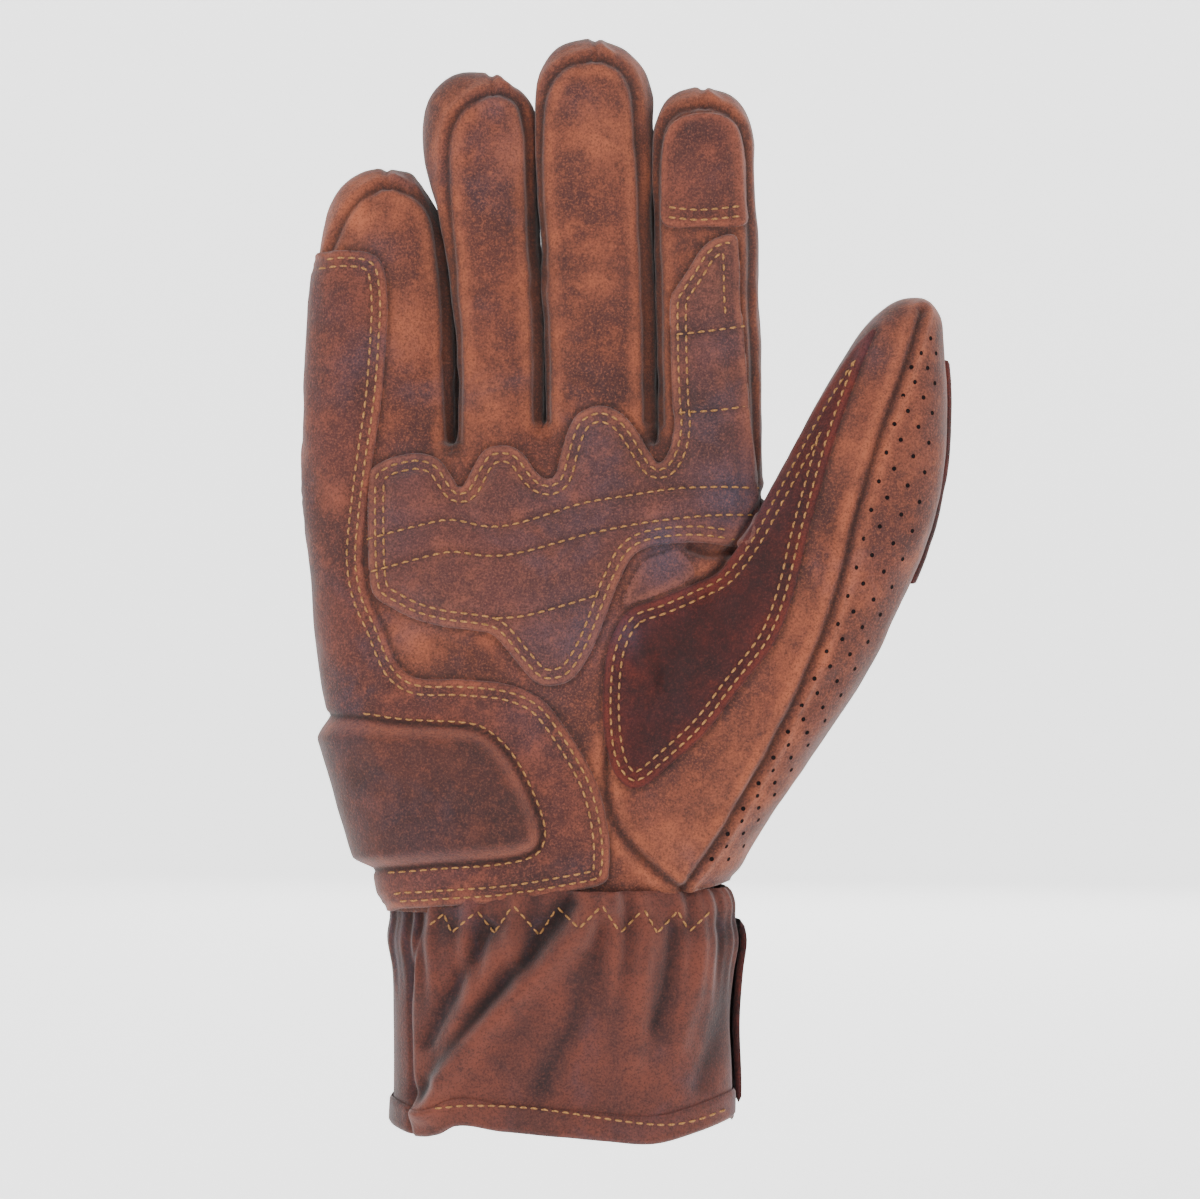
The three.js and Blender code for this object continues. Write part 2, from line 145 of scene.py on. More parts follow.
def signed(points, outline):
    """Distance to a closed outline, negative inside."""
    ring = np.vstack([outline, outline[:1]])
    inside = np.zeros(len(points), bool)
    order = np.argsort(points[:, 1])
    levels = points[order, 1]
    for (x1, z1), (x2, z2) in zip(ring, ring[1:]):
        if z1 == z2:
            continue
        a, b = np.searchsorted(levels, [min(z1, z2), max(z1, z2)])
        rows = order[a:b]
        inside[rows] ^= points[rows, 0] < (x2 - x1) * (points[rows, 1] - z1) / (z2 - z1) + x1
    return np.where(inside, -1.0, 1.0) * distance(points, ring)


# ---- triangle meshes as arrays


def normals_of(v, t):
    face = np.cross(v[t[:, 1]] - v[t[:, 0]], v[t[:, 2]] - v[t[:, 0]])
    n = np.zeros_like(v)
    for k in range(3):
        np.add.at(n, t[:, k], face)
    return n / np.maximum(np.linalg.norm(n, axis=1), 1e-12)[:, None]


def neighbours_mean(t, count):
    """A function that averages a per-vertex array over each vertex's neighbours."""
    e = np.vstack([t[:, [0, 1]], t[:, [1, 2]], t[:, [2, 0]]])
    e = np.unique(np.sort(e, axis=1), axis=0)
    degree = np.bincount(e.ravel(), minlength=count).astype(float)

    def mean(a):
        total = np.zeros_like(a, dtype=float)
        np.add.at(total, e[:, 0], a[e[:, 1]])
        np.add.at(total, e[:, 1], a[e[:, 0]])
        return total / (degree[:, None] if a.ndim > 1 else degree)

    return mean


def clip(v, t, f, extra):
    """The part of a mesh where f is negative, cut exactly where f is 0. extra: per-vertex arrays."""
    f = np.where(np.abs(f) < 0.02, -0.02, f)
    neg = f < 0
    inside = neg[t]
    n = inside.sum(1)
    whole = t[n == 3]
    cut = {}
    new_a, new_b, new_t = [], [], []

    def crossing(a, b):
        key = (a, b) if a < b else (b, a)
        if key not in cut:
            cut[key] = len(v) + len(new_a)
            a, b = key
            new_a.append(a)
            new_b.append(b)
            new_t.append(f[a] / (f[a] - f[b]))
        return cut[key]

    tris = []
    for k in np.where((n == 1) | (n == 2))[0]:
        a, b, c = t[k]
        flags = inside[k]
        lone = 1 if n[k] == 1 else 0
        while bool(flags[0]) != bool(lone):
            a, b, c = b, c, a
            flags = np.roll(flags, -1)
        p, q = crossing(a, b), crossing(a, c)
        if n[k] == 1:
            tris.append((a, p, q))
        else:
            tris += [(p, b, c), (p, c, q)]
    t2 = np.vstack([whole, np.array(tris, int).reshape(-1, 3)])
    a, b, w = np.array(new_a, int), np.array(new_b, int), np.array(new_t)[:, None]

    def grown(x):
        if not len(a):
            return x
        ww = w if x.ndim > 1 else w[:, 0]
        return np.concatenate([x, x[a] * (1 - ww) + x[b] * ww])

    used, back = np.unique(t2, return_inverse=True)
    return grown(v)[used], back.reshape(-1, 3), {k: grown(x)[used] for k, x in extra.items()}


def rim_edges(t):
    """Directed edges that belong to one triangle only."""
    e = np.vstack([t[:, [0, 1]], t[:, [1, 2]], t[:, [2, 0]]])
    keys = np.sort(e, axis=1)
    _, first, counts = np.unique(keys, axis=0, return_index=True, return_counts=True)
    return e[first[counts == 1]]


def make_object(name, v, t, extra=None, material=None, slot="main_leather"):
    mesh = bpy.data.meshes.new(name)
    mesh.vertices.add(len(v))
    mesh.vertices.foreach_set("co", (v * MM).astype(np.float32).ravel())
    mesh.loops.add(t.size)
    mesh.loops.foreach_set("vertex_index", t.astype(np.int32).ravel())
    mesh.polygons.add(len(t))
    mesh.polygons.foreach_set("loop_start", np.arange(0, t.size, 3, dtype=np.int32))
    mesh.polygons.foreach_set("use_smooth", np.ones(len(t), bool))
    mesh.update(calc_edges=True)
    for key, values in (extra or {}).items():
        if key in ("wear", "fold", "stain"):
            layer = mesh.attributes.new(key, "FLOAT", "POINT")
            layer.data.foreach_set("value", values.astype(np.float32))
    obj = bpy.data.objects.new(name, mesh)
    bpy.context.scene.collection.objects.link(obj)
    if material:
        mesh.materials.append(material)
    return obj


# ---- materials


def srgb(colour):
    linear = [c / 255 / 12.92 if c < 10 else ((c / 255 + 0.055) / 1.055) ** 2.4 for c in colour]
    return (*linear, 1.0)


class Nodes:
    """A short way to build a shader."""

    def __init__(self, name):
        self.material = bpy.data.materials.new(name)
        self.material.use_nodes = True
        self.tree = self.material.node_tree
        self.shader = self.tree.nodes["Principled BSDF"]
        self.coords = self.tree.nodes.new("ShaderNodeTexCoord").outputs["Object"]

    def link(self, value, socket):
        if hasattr(value, "is_output"):
            self.tree.links.new(value, socket)
        else:
            socket.default_value = value

    def node(self, kind, output, inputs, **settings):
        n = self.tree.nodes.new("ShaderNode" + kind)
        for key, value in settings.items():
            setattr(n, key, value)
        for key, value in inputs.items():
            self.link(value, n.inputs[key])
        return n.outputs[output]

    def noise(self, scale, detail=4.0, rough=0.55, distortion=0.0):
        inputs = {"Scale": scale, "Detail": detail, "Roughness": rough, "Distortion": distortion}
        return self.node("TexNoise", "Fac", inputs | {"Vector": self.coords})

    def cells(self, scale):
        inputs = {"Scale": scale, "Vector": self.coords}
        return self.node("TexVoronoi", "Distance", inputs, feature="DISTANCE_TO_EDGE")

    def ramp(self, value, low, high):
        inputs = {"Value": value, "From Min": low, "From Max": high}
        return self.node("MapRange", "Result", inputs, interpolation_type="SMOOTHSTEP")

    def math(self, operation, a, b):
        return self.node("Math", 0, {0: a, 1: b}, operation=operation, use_clamp=True)

    def times(self, a, b):
        return self.math("MULTIPLY", a, b)

    def mix(self, factor, a, b):
        return self.node("Mix", 2, {"Factor": factor, 6: a, 7: b}, data_type="RGBA")

    def attribute(self, name):
        return self.node("Attribute", "Fac", {}, attribute_name=name)

    def bump(self, height, strength, distance, normal=None):
        inputs = {"Strength": strength, "Distance": distance * MM, "Height": height}
        return self.node("Bump", "Normal", inputs | ({} if normal is None else {"Normal": normal}))


STAIN_BLUE = (48, 42, 54)


def darker(colour, share):
    return tuple(int(c * share) for c in colour)


def leather(name, mid, light, dark, blue_amount=0.5, sheen=0.12):
    """Waxed suede. Attributes: one turns it orange where it is worn and as a painted highlight, one darkens
    it as painted shade and as darker tone, stain turns it blue-grey.
    """
    s = Nodes(name)
    cloud = s.noise(42, 6, 0.6, 0.2)
    patchy = s.noise(130, 5, 0.62, 0.2)
    fine = s.noise(800, 4, 0.7)
    grain = s.noise(2100, 3, 0.7)
    base = s.mix(s.ramp(cloud, 0.28, 0.72), srgb(dark), srgb(mid))
    base = s.mix(s.times(s.ramp(patchy, 0.45, 0.75), 0.5), base, srgb(light))
    # lighter where worn, and where a highlight is painted
    base = s.mix(s.times(s.attribute("wear"), s.ramp(patchy, 0.15, 0.6)), base, srgb(light))
    stain = s.times(s.ramp(s.noise(34, 4, 0.6, 0.6), 0.54, 0.70), blue_amount)
    stain = s.math("MAXIMUM", stain, s.times(s.attribute("stain"), s.ramp(cloud, 0.3, 0.6)))
    base = s.mix(stain, base, srgb(STAIN_BLUE))
    # painted shade in creases, seams, gaps and valleys, and the darker tone of some parts
    fold = s.attribute("fold")
    raised = s.math("SUBTRACT", 1.0, s.times(fold, 0.75))  # less pale speckle where shade and darker tone are painted
    base = s.mix(fold, base, srgb(darker(dark, 0.35)))
    base = s.mix(s.times(s.times(s.ramp(fine, 0.50, 0.72), 0.34), raised), base, srgb(light))
    base = s.mix(s.times(s.ramp(fine, 0.50, 0.32), 0.36), base, srgb(dark))
    base = s.mix(s.times(s.times(s.ramp(grain, 0.52, 0.66), 0.42), raised), base, srgb(light))
    base = s.mix(s.times(s.ramp(grain, 0.50, 0.36), 0.5), base, srgb(darker(dark, 0.6)))
    s.link(base, s.shader.inputs["Base Color"])
    rough = s.node("MapRange", "Result", {"Value": patchy, "To Min": 0.72, "To Max": 0.95})
    s.link(rough, s.shader.inputs["Roughness"])
    s.shader.inputs["Specular IOR Level"].default_value = 0.22
    s.shader.inputs["Sheen Weight"].default_value = sheen
    s.shader.inputs["Sheen Roughness"].default_value = 0.5
    first = s.bump(s.cells(1100), 0.35, 0.16)
    second = s.bump(grain, 0.5, 0.22, first)
    third = s.bump(s.noise(230, 4, 0.6), 0.4, 0.5, second)
    s.link(third, s.shader.inputs["Normal"])
    return s.material


def thread_material(name, colour):
    s = Nodes(name)
    twist = s.noise(2600, 2, 0.5)
    base = s.mix(s.ramp(twist, 0.35, 0.65), srgb(darker(colour, 0.72)), srgb(colour))
    s.link(base, s.shader.inputs["Base Color"])
    s.shader.inputs["Roughness"].default_value = 0.8
    s.shader.inputs["Specular IOR Level"].default_value = 0.1
    s.link(s.bump(twist, 0.6, 0.12), s.shader.inputs["Normal"])
    return s.material


def cloth_material(name, colour, scale=900):
    s = Nodes(name)
    weave = s.cells(scale)
    base = s.mix(s.ramp(weave, 0.0, 0.3), srgb(darker(colour, 0.5)), srgb(colour))
    s.link(base, s.shader.inputs["Base Color"])
    s.shader.inputs["Roughness"].default_value = 0.9
    s.link(s.bump(weave, 0.8, 0.3), s.shader.inputs["Normal"])
    return s.material


MAIN = leather("main_leather", (74, 35, 25), (126, 66, 42), (40, 19, 17), blue_amount=0.3)
PATCH = leather("overlay_leather", (72, 37, 32), (112, 62, 46), (42, 23, 23), blue_amount=0.35)
EDGE = leather("edge_leather", (68, 32, 26), (116, 60, 42), (37, 18, 17), blue_amount=0.35)
DARK = leather("thumb_patch_leather", (52, 12, 11), (86, 32, 23), (28, 8, 8), blue_amount=0.06, sheen=0.05)
CUFF = leather("cuff_leather", (53, 25, 21), (90, 44, 32), (28, 14, 15), blue_amount=0.35)
THREAD_GOLD = thread_material("gold_thread", (148, 106, 64))
HOLE = thread_material("hole_shade", (8, 4, 4))
BLACK = cloth_material("tape", (15, 14, 14))
ELASTIC = cloth_material("elastic_weave", (28, 25, 25), 600)

# ---- the hand's volumes

FINGERS = {
    "little": {
        "left": [(140, -57.6), (150, -59.0), (183, -59.3), (200, -58.0), (212, -56.2), (225, -55.5)],
        "right": [(150, -26.4), (175, -26.6), (200, -28.2), (225, -30.0)],
        "tip": 224.6, "centre": -42.0, "depth": 10.6, "dome": 17.0, "pivot": 166.0, "bend": 191.0,
    },
    "ring": {
        "left": [(150, -25.9), (185, -26.0), (205, -28.4), (213, -30.0), (226, -32.4), (248, -32.8)],
        "right": [(150, -6.0), (190, -6.4), (220, -8.4), (248, -9.4)],
        "tip": 246.8, "centre": -20.6, "depth": 10.8, "dome": 15.0, "pivot": 171.0, "bend": 199.0,
    },
    "middle": {
        "left": [(150, -5.4), (190, -5.8), (220, -7.6), (256, -8.0)],
        "right": [(150, 19.6), (190, 19.2), (225, 18.2), (256, 17.0)],
        "tip": 254.4, "centre": 5.0, "depth": 11.2, "dome": 15.5, "pivot": 173.0, "bend": 203.0,
    },
    "index": {
        "left": [(150, 20.2), (185, 20.0), (215, 19.0), (245, 19.0)],
        "right": [(150, 44.8), (175, 44.8), (200, 44.2), (225, 43.4), (245, 43.0)],
        "tip": 243.6, "centre": 31.2, "depth": 11.0, "dome": 14.5, "pivot": 172.0, "bend": 200.0,
    },
}


def tube(section, low, high, rings=90, around=64, power=2.5):
    """A closed tube. section(z) gives left, right, front, back and the middle plane's y."""
    zs = low + (high - low) * (1 - np.cos(np.linspace(0, math.pi, rings))) / 2
    v = []
    for z in zs:
        left, right, front, back, middle = section(z)
        a = np.linspace(0, 2 * math.pi, around, endpoint=False)
        c = np.sign(np.cos(a)) * np.abs(np.cos(a)) ** (2 / power)
        s = np.sign(np.sin(a)) * np.abs(np.sin(a)) ** (2 / power)
        depth = np.where(s < 0, front, back)
        x = (left + right) / 2 + c * (right - left) / 2
        v.append(np.stack([x, middle + s * depth, np.full(around, z)], 1))
    v = np.vstack(v)
    t = []
    for i in range(rings - 1):
        for j in range(around):
            a, b = i * around + j, i * around + (j + 1) % around
            t += [(a, b, b + around), (a, b + around, a + around)]
    v = np.vstack([v, v[:around].mean(0), v[-around:].mean(0)])
    for j in range(around):
        k = (j + 1) % around
        t += [(len(v) - 2, k, j), (len(v) - 1, (rings - 1) * around + j, (rings - 1) * around + k)]
    return v, np.array(t)


def dome(z, tip, height, power=2.3):
    climb = min(max((z - (tip - height)) / height, 0.0), 1.0)
    return max((1 - climb**power) ** (1 / power), 0.02)


def finger_tube(name, f):
    """A finger; beside another finger it is a little too wide, so that the two press together."""
    left, right = profile(*f["left"]), profile(*f["right"])
    press_left, press_right = PRESS * (name != "little"), PRESS * (name != "index")
    middle = f["centre"]

    def section(z):
        r = dome(z, f["tip"], f["dome"])
        a, b = left(z) - press_left, right(z) + press_right
        return middle + (a - middle) * r, middle + (b - middle) * r, f["depth"] * r, f["depth"] * r, 0

    return tube(section, PALM_END, f["tip"])


def palm_tube():
    left = profile((40, -38.5), (54, -41.6), (61, -43.4), (68, -44.8), (75, -46.8), (88, -50.2), (100, -53.8),
                   (116, -56.8), (130, -58.2), (150, -60.0), (170, -60.2))
    right = profile((40, 37.6), (61, 38.6), (85, 42.0), (120, 44.6), (150, 45.0), (170, 44.9))
    front = profile((40, 20), (75, 19), (130, 17), (148, 13.5), (160, 9.5))
    back = profile((40, 20), (75, 18), (130, 15), (148, 13), (160, 9.5))
    return tube(lambda z: (left(z), right(z), front(z), back(z), 0), 40, 161, power=2.8)


def thumb_tube():
    left = profile((48, 18), (62, 10), (75, 7), (95, 8), (116, 20), (130, 32.5), (140, 40), (150, 46.9),
                   (165, 54.2), (178, 61.6), (186, 66.4), (196, 71.5))
    right = profile((48, 36.5), (61.2, 38.6), (68, 41.4), (75, 45.8), (88.8, 55.2), (102.6, 65.1),
                    (116.4, 72.5), (130, 78.7), (144, 84), (157, 86.3), (171, 87), (186, 86.4), (196, 86))
    depth = profile((48, 14), (75, 17.5), (110, 16.5), (140, 14.0), (170, 13.0), (196, 12))
    middle = profile((48, -2), (75, -3), (110, -5), (140, -6), (170, -4), (196, -3))
    centre, tip = 79.6, 194.8

    def section(z):
        r = dome(z, tip, 11, 2.4)
        a, b = left(z), right(z)
        if r < 1:
            a, b = centre + (a - centre) * r, centre + (b - centre) * r
        return a, b, depth(z) * r, depth(z) * r, middle(z)

    return tube(section, 48, tip, power=2.3)


def crotch_plug(x, z, radius):
    """Fills the web between two fingers up to a rounded saddle."""

    def section(h):
        r = dome(h, z, 9)
        return x - radius, x + radius, 9.5 * r, 9.5 * r, 0

    return tube(section, PALM_END, z, rings=20, around=24)


def join(parts):
    """Several (vertices, triangles) pairs as one."""
    v, t, start = [], [], 0
    for a, b in parts:
        v.append(a)
        t.append(b + start)
        start += len(a)
    return np.vstack(v), np.vstack(t)


def remeshed(v, t):
    """One closed skin around overlapping volumes."""
    obj = make_object("volume", v, t)
    modifier = obj.modifiers.new("remesh", "REMESH")
    modifier.mode = "VOXEL"
    modifier.voxel_size = VOXEL * MM
    modifier.adaptivity = 0
    dg = bpy.context.evaluated_depsgraph_get()
    mesh = bpy.data.meshes.new_from_object(obj.evaluated_get(dg))
    co = np.empty(len(mesh.vertices) * 3, np.float32)
    mesh.vertices.foreach_get("co", co)
    mesh.calc_loop_triangles()
    tri = np.empty(len(mesh.loop_triangles) * 3, np.int32)
    mesh.loop_triangles.foreach_get("vertices", tri)
    bpy.data.objects.remove(obj)
    bpy.data.meshes.remove(mesh)
    return co.reshape(-1, 3).astype(float) / MM, tri.reshape(-1, 3)


# The fingers nearly touch. They are spread apart while the skin is made, and put back after it.
SPREAD = {"little": -9.6, "ring": -5.8, "middle": -2.1, "index": 1.6}
GAPS = [  # the line between two fingers, as x at heights z
    profile((150, -26.1), (185, -26.3), (200, -28.2), (209, -29.2), (217, -32.4), (226, -39.0)),
    profile((150, -5.7), (190, -6.1), (222, -8.2), (250, -8.8)),
    profile((150, 19.9), (190, 19.6), (225, 18.5), (250, 18.0)),
]
WEBS = [158.8, 166.6, 162.4]  # height of the web in each gap
GAP_WIDTH = 0.15
SPREAD_END = 60.0  # x past which nothing is moved


def opened(z):
    """How far the spread has taken effect at a height: 0 in the palm, 1 in the fingers."""
    return smooth((z - PALM_END) / 16)


def spread_knots(z):
    """x of the knots of the spread at one height, and how far each moves."""
    shifts = list(SPREAD.values())
    x, move = [-75.0], [shifts[0]]
    for gap, a, b in zip(GAPS, shifts, shifts[1:]):
        x += [gap(z) - GAP_WIDTH / 2, gap(z) + GAP_WIDTH / 2]
        move += [a, b]
    return np.array(x + [46.0, SPREAD_END, 100.0]), np.array(move + [shifts[-1], 0.0, 0.0])


def spread(v, back=False):
    v = v.copy()
    for level in np.unique(np.round(v[:, 2] * 2)):
        z = level / 2
        amount = opened(z)
        if amount <= 0:
            continue
        rows = np.abs(v[:, 2] - z) <= 0.25
        x, move = spread_knots(z)
        pair = (x + move * amount, x) if back else (x, x + move * amount)
        v[rows, 0] = np.interp(v[rows, 0], *pair)
    return v


volumes = [(spread(v), t) for v, t in (palm_tube(), thumb_tube())]
for finger, f in FINGERS.items():
    v, t = finger_tube(finger, f)
    v[:, 0] += SPREAD[finger] * opened(v[:, 2])
    volumes.append((v, t))
volumes += [(spread(v), t) for v, t in (crotch_plug(gap(z), z, 2.0) for gap, z in zip(GAPS, WEBS))]
skin_v, skin_t = remeshed(*join(volumes))
apart = skin_v[:, 0]  # keeps each point's finger known after the fingers close up
skin_v = spread(skin_v, back=True)
mean = neighbours_mean(skin_t, len(skin_v))
for _ in range(5):
    skin_v = skin_v + 0.5 * (mean(skin_v) - skin_v)
    skin_v = skin_v - 0.48 * (mean(skin_v) - skin_v)
for _ in range(4):
    skin_v = skin_v + 0.5 * (mean(skin_v) - skin_v)
# Two fingers press into each other in a curve, so that no light comes through between them
for gap, z in zip(GAPS, WEBS):
    near = bell(skin_v[:, 0] - gap(skin_v[:, 2]), 4) * smooth((skin_v[:, 2] - z + 9) / 7)
    skin_v[:, 0] += 1.7 * near * bell(skin_v[:, 1], 4.5)
hand_hem = profile((-46, 54.0), (-14, 56.2), (6, 59.0), (14, 59.6), (26, 59.2), (38, 61))
skin_v, skin_t, kept = clip(skin_v, skin_t, hand_hem(skin_v[:, 0]) - skin_v[:, 2], {"apart": apart})
skin_n = normals_of(skin_v, skin_t)
mean = neighbours_mean(skin_t, len(skin_v))
for _ in range(3):
    skin_n = mean(skin_n)
skin_n /= np.linalg.norm(skin_n, axis=1)[:, None]


def seen(v):
    """Where a point appears on the plane y = 0, looked at from the camera."""
    k = CAMERA_DISTANCE / (CAMERA_DISTANCE + v[:, 1])
    return np.stack([CAMERA_X + (v[:, 0] - CAMERA_X) * k, CAMERA_Z + (v[:, 2] - CAMERA_Z) * k], 1)


# ---- seams, creases, worn areas, painted shade and painted highlights of the skin
# Lines are (x, z) as seen from the palm side.
FINGER_PANELS = {
    "little": [(-54.5, 206), (-51, 214), (-46.5, 218.7), (-41.2, 220.6), (-35, 218.7), (-31.0, 214),
        (-29.5, 206), (-28.3, 194.6), (-27.4, 171.6), (-27.0, 160)],
    "ring": [(-24.9, 160), (-25.2, 185), (-26.4, 205), (-27.6, 222), (-27.4, 231), (-25.4, 237),
        (-21.2, 240.8), (-16.1, 242.2), (-12, 240.6), (-9.8, 236), (-9.0, 226), (-7.5, 194.6),
        (-7.0, 167)],
    "middle": [(-4.6, 167), (-5.0, 194.6), (-6.2, 217.6), (-6.2, 236), (-4.2, 244), (-0.5, 248.2),
        (5.3, 249.9), (11, 248.8), (14.4, 245.0), (15.9, 238.3), (16.9, 217.6), (18.0, 194.6),
        (18.4, 167)],
    "index": [(21.4, 166), (21.0, 194.6), (20.3, 217.6), (21.3, 231.4), (23.8, 236.6), (28.3, 238.9),
        (34, 238.9), (38.2, 236.6), (40.6, 232), (41.6, 217.6), (42.4, 194.6), (43.0, 171.6), (43.6, 153)],
}
SIDE_PANEL_EDGE = [(9.6, 92), (9.0, 84), (10.2, 76.4), (13.1, 71.1), (19.1, 64.6), (26.7, 58.2)]
PERFORATED_SEAM = [
    (26.7, 58.9), (33.6, 68.8), (41.9, 82.3), (49.5, 96.4), (55.9, 110.4), (60.0, 120.5), (63.7, 132.7),
    (66.0, 142.8), (68.3, 150.9), (72.0, 163.3), (75.9, 174.1), (79.1, 183.3), (81.6, 192),
]
THUMB_BACK_SEAM = [(48.5, 160), (45, 150), (38.5, 135), (32, 110), (28, 85), (28.5, 56)]
THUMB_WEB = [(29.0, 129.3), (33.6, 131.8), (40.0, 139.8), (45.8, 150.2)]
CREASES = [  # line, depth, half width
    ([(17.2, 119.4), (20.2, 114.1), (21.9, 106.3)], 0.7, 1.3),
    ([(30, 128), (36, 120), (40, 112)], 0.4, 2.2),
    ([(52, 158), (58, 150), (62, 139)], 0.35, 2.0),
    ([(28.3, 137.8), (33.4, 136.2), (38.2, 137.3)], 1.8, 1.1),
    ([(-38, 176), (-32, 178), (-28, 182)], 0.35, 1.6),
    ([(-22, 196), (-15, 198), (-9, 196)], 0.35, 1.8),
    ([(-3, 200), (6, 203), (14, 200)], 0.35, 1.8),
    ([(-20, 182), (-14, 180), (-9, 183)], 0.3, 1.5),
    ([(0, 186), (8, 184), (14, 187)], 0.3, 1.5),
    ([(-8, 102), (2, 96), (6, 86)], 0.3, 2.2),
    ([(-30, 116), (-20, 112), (-12, 104)], 0.5, 2.4),
    ([(-56, 196), (-50, 199), (-44, 198)], 0.3, 1.6),
    ([(44, 84), (38, 78), (30, 76)], 0.35, 2.2),
    ([(62, 108), (54, 100), (48, 96)], 0.3, 2.0),
]
for x, z, arc in [(-41.5, 223.5, 220.6), (-17.3, 246.0, 242.2), (6.4, 253.6, 249.9), (31.3, 242.8, 238.9)]:
    CREASES.append(([(x, z + 2), (x, z), (x + 0.4, arc)], 0.6, 0.7))
    CREASES.append(([(x - 0.3, arc + 1.2), (x - 3.2, arc - 1.6), (x - 4.2, arc - 5)], 0.4, 1.0))
    CREASES.append(([(x + 0.8, z - 0.6), (x + 3.2, arc + 1.4)], -0.6, 0.9))
STAINS = [
    (22, 133, 6, 0.6), (38, 150, 9, 0.9), (30, 168, 6, 0.5), (0, 118, 9, 0.7), (-44, 205, 4, 0.6),
    (-17, 240, 4, 0.6), (36, 185, 6, 0.4), (-8, 98, 8, 0.35), (-30, 70, 9, 0.3), (70, 184, 5, 0.5),
    (14, 118, 4, 0.5), (-37, 157, 4, 0.5), (22, 140, 5, 0.7), (3, 240, 4, 0.4), (-40, 142, 6, 0.3),
]
# Lighter spots: partly worn places, partly painted highlight along the fingers
WEAR_AND_HIGHLIGHT_SPOTS = [
    (30, 70, 9, 0.6), (45, 92, 8, 0.3), (56, 122, 7, 0.3), (66, 158, 6, 0.25), (76, 186, 6, 0.3),
    (-49, 214, 7, 1.0), (-10, 228, 5, 0.9), (9, 232, 8, 0.8), (-38, 188, 8, 0.7), (28, 222, 7, 0.5),
    (8, 200, 6, 0.5), (-34, 118, 7, 0.8), (-18, 172, 6, 0.6), (54, 118, 14, 0.15), (72, 160, 10, 0.3),
    (40, 82, 9, 0.5), (20, 70, 6, 0.6), (-52, 150, 6, 0.5), (-2, 185, 5, 0.4), (34, 196, 5, 0.5),
]


def blotches(p, spots):
    total = np.zeros(len(p))
    for x, z, radius, amount in spots:
        total += amount * np.exp(-(((p[:, 0] - x) ** 2 + (p[:, 1] - z) ** 2) / radius**2))
    return np.clip(total, 0, 1)


def groove(p, line, depth, half_width, lip=0.0):
    """A sewn line: a dip, with the leather swelling a little on both sides of it."""
    d = distance(p, curve(line))
    swelling = lip * bell(d - 2.2 * half_width, 1.1 * half_width)
    return -depth * bell(d, half_width) + swelling, d


def lumps(v, scale, seed):
    """Smooth random heights, about -0.5 to 0.5, with bumps of the given size."""
    lattice = np.random.default_rng(seed).uniform(-1, 1, (64, 64, 64))
    p = v / scale + 100.0
    cell = np.floor(p).astype(int)
    w = smooth(p - cell)
    total = np.zeros(len(v))
    for corner in np.ndindex(2, 2, 2):
        near = np.where(corner, w, 1 - w)
        weight = near[:, 0] * near[:, 1] * near[:, 2]
        total += weight * lattice[tuple(((cell + corner) % 64).T)]
    return total


front = smooth((0.35 - skin_n[:, 1]) / 0.5)
flat = seen(skin_v)
plain = skin_v[:, [0, 2]]
height = 0.5 * lumps(skin_v, 13, 3) + 0.2 * lumps(skin_v, 5, 8)
wear = blotches(flat, WEAR_AND_HIGHLIGHT_SPOTS)
fold = np.zeros(len(skin_v))
palm_face, back_face = smooth((-skin_n[:, 1] - 0.15) / 0.4), smooth((skin_n[:, 1] - 0.15) / 0.4)
for line in FINGER_PANELS.values():
    for side, where in ((palm_face, flat), (back_face, plain)):
        h, d = groove(where, line, 0.65, 0.8, 0.3)
        height += side * h
        # painted shade in the seam's groove
        fold = np.maximum(fold, side * 0.75 * bell(d, 0.7))
        wear = np.maximum(wear, side * 0.6 * bell(d - 2.4, 1.4))
h, d = groove(plain, THUMB_BACK_SEAM, 0.7, 0.8, 0.4)
height += back_face * h
# painted shade in the seam's groove
fold = np.maximum(fold, back_face * 0.75 * bell(d, 0.8))
wear = np.maximum(wear, back_face * 0.7 * bell(d - 2.4, 1.5))
THUMB_SEAMS = [(SIDE_PANEL_EDGE, 1.0, 1.0), (PERFORATED_SEAM, 0.9, 0.8), (THUMB_WEB, 0.8, 1.0)]
for line, depth, half_width in THUMB_SEAMS:
    h, d = groove(flat, line, depth, half_width, 0.45)
    height += front * h
    # painted shade in the seam's groove
    fold = np.maximum(fold, front * 0.8 * bell(d, 0.8))
    wear = np.maximum(wear, front * 0.8 * bell(d - 2.4, 1.5))
for line, depth, half_width in CREASES:
    h, d = groove(flat, line, depth, half_width, depth * 0.35)
    height += front * h
    # painted shade in the crease
    fold = np.maximum(fold, front * min(0.6, depth * 0.5) * bell(d, half_width))
# Painted shade: the gaps between the fingers are darkened
for gap, z in zip(GAPS, WEBS):
    near = bell(skin_v[:, 0] - gap(skin_v[:, 2]), 2.4) * smooth((skin_v[:, 2] - z + 4) / 6)
    fold = np.maximum(fold, near * smooth((230 - skin_v[:, 2]) / 20) * 0.85)
hem_gap = skin_v[:, 2] - hand_hem(skin_v[:, 0])
height -= 1.5 * bell(hem_gap, 2.6)
# painted shade in the dip along the hem
fold = np.maximum(fold, 0.4 * bell(hem_gap, 1.2))
skin_v = skin_v + skin_n * height[:, None]
stain = blotches(flat, STAINS) * front
skin_extra = {"n": skin_n, "wear": wear, "fold": fold, "stain": stain, "apart": kept["apart"]}

# ---- the regions the surface is cut into; only the palm's pieces are attached to a body
BELOW_KNUCKLE, ABOVE_KNUCKLE, PAST_BEND = 7, 14, 13  # where a finger's base and tip regions start, below and above its pivot
BELOW_THUMB_KNUCKLE, ABOVE_THUMB_KNUCKLE = 13, 12
THUMB_AXIS = np.array([math.sin(math.radians(20)), 0, math.cos(math.radians(20))])
THUMB_KNUCKLE = np.array([70.9, 0, 164.0])
THUMB_REGION = np.array([
    (18, 40), (18, 54), (28.6, 131), (33.2, 134.2), (39.6, 141), (46.2, 150.5), (46.6, 158), (50, 170),
    (60, 205), (120, 205), (120, 40),
], float)


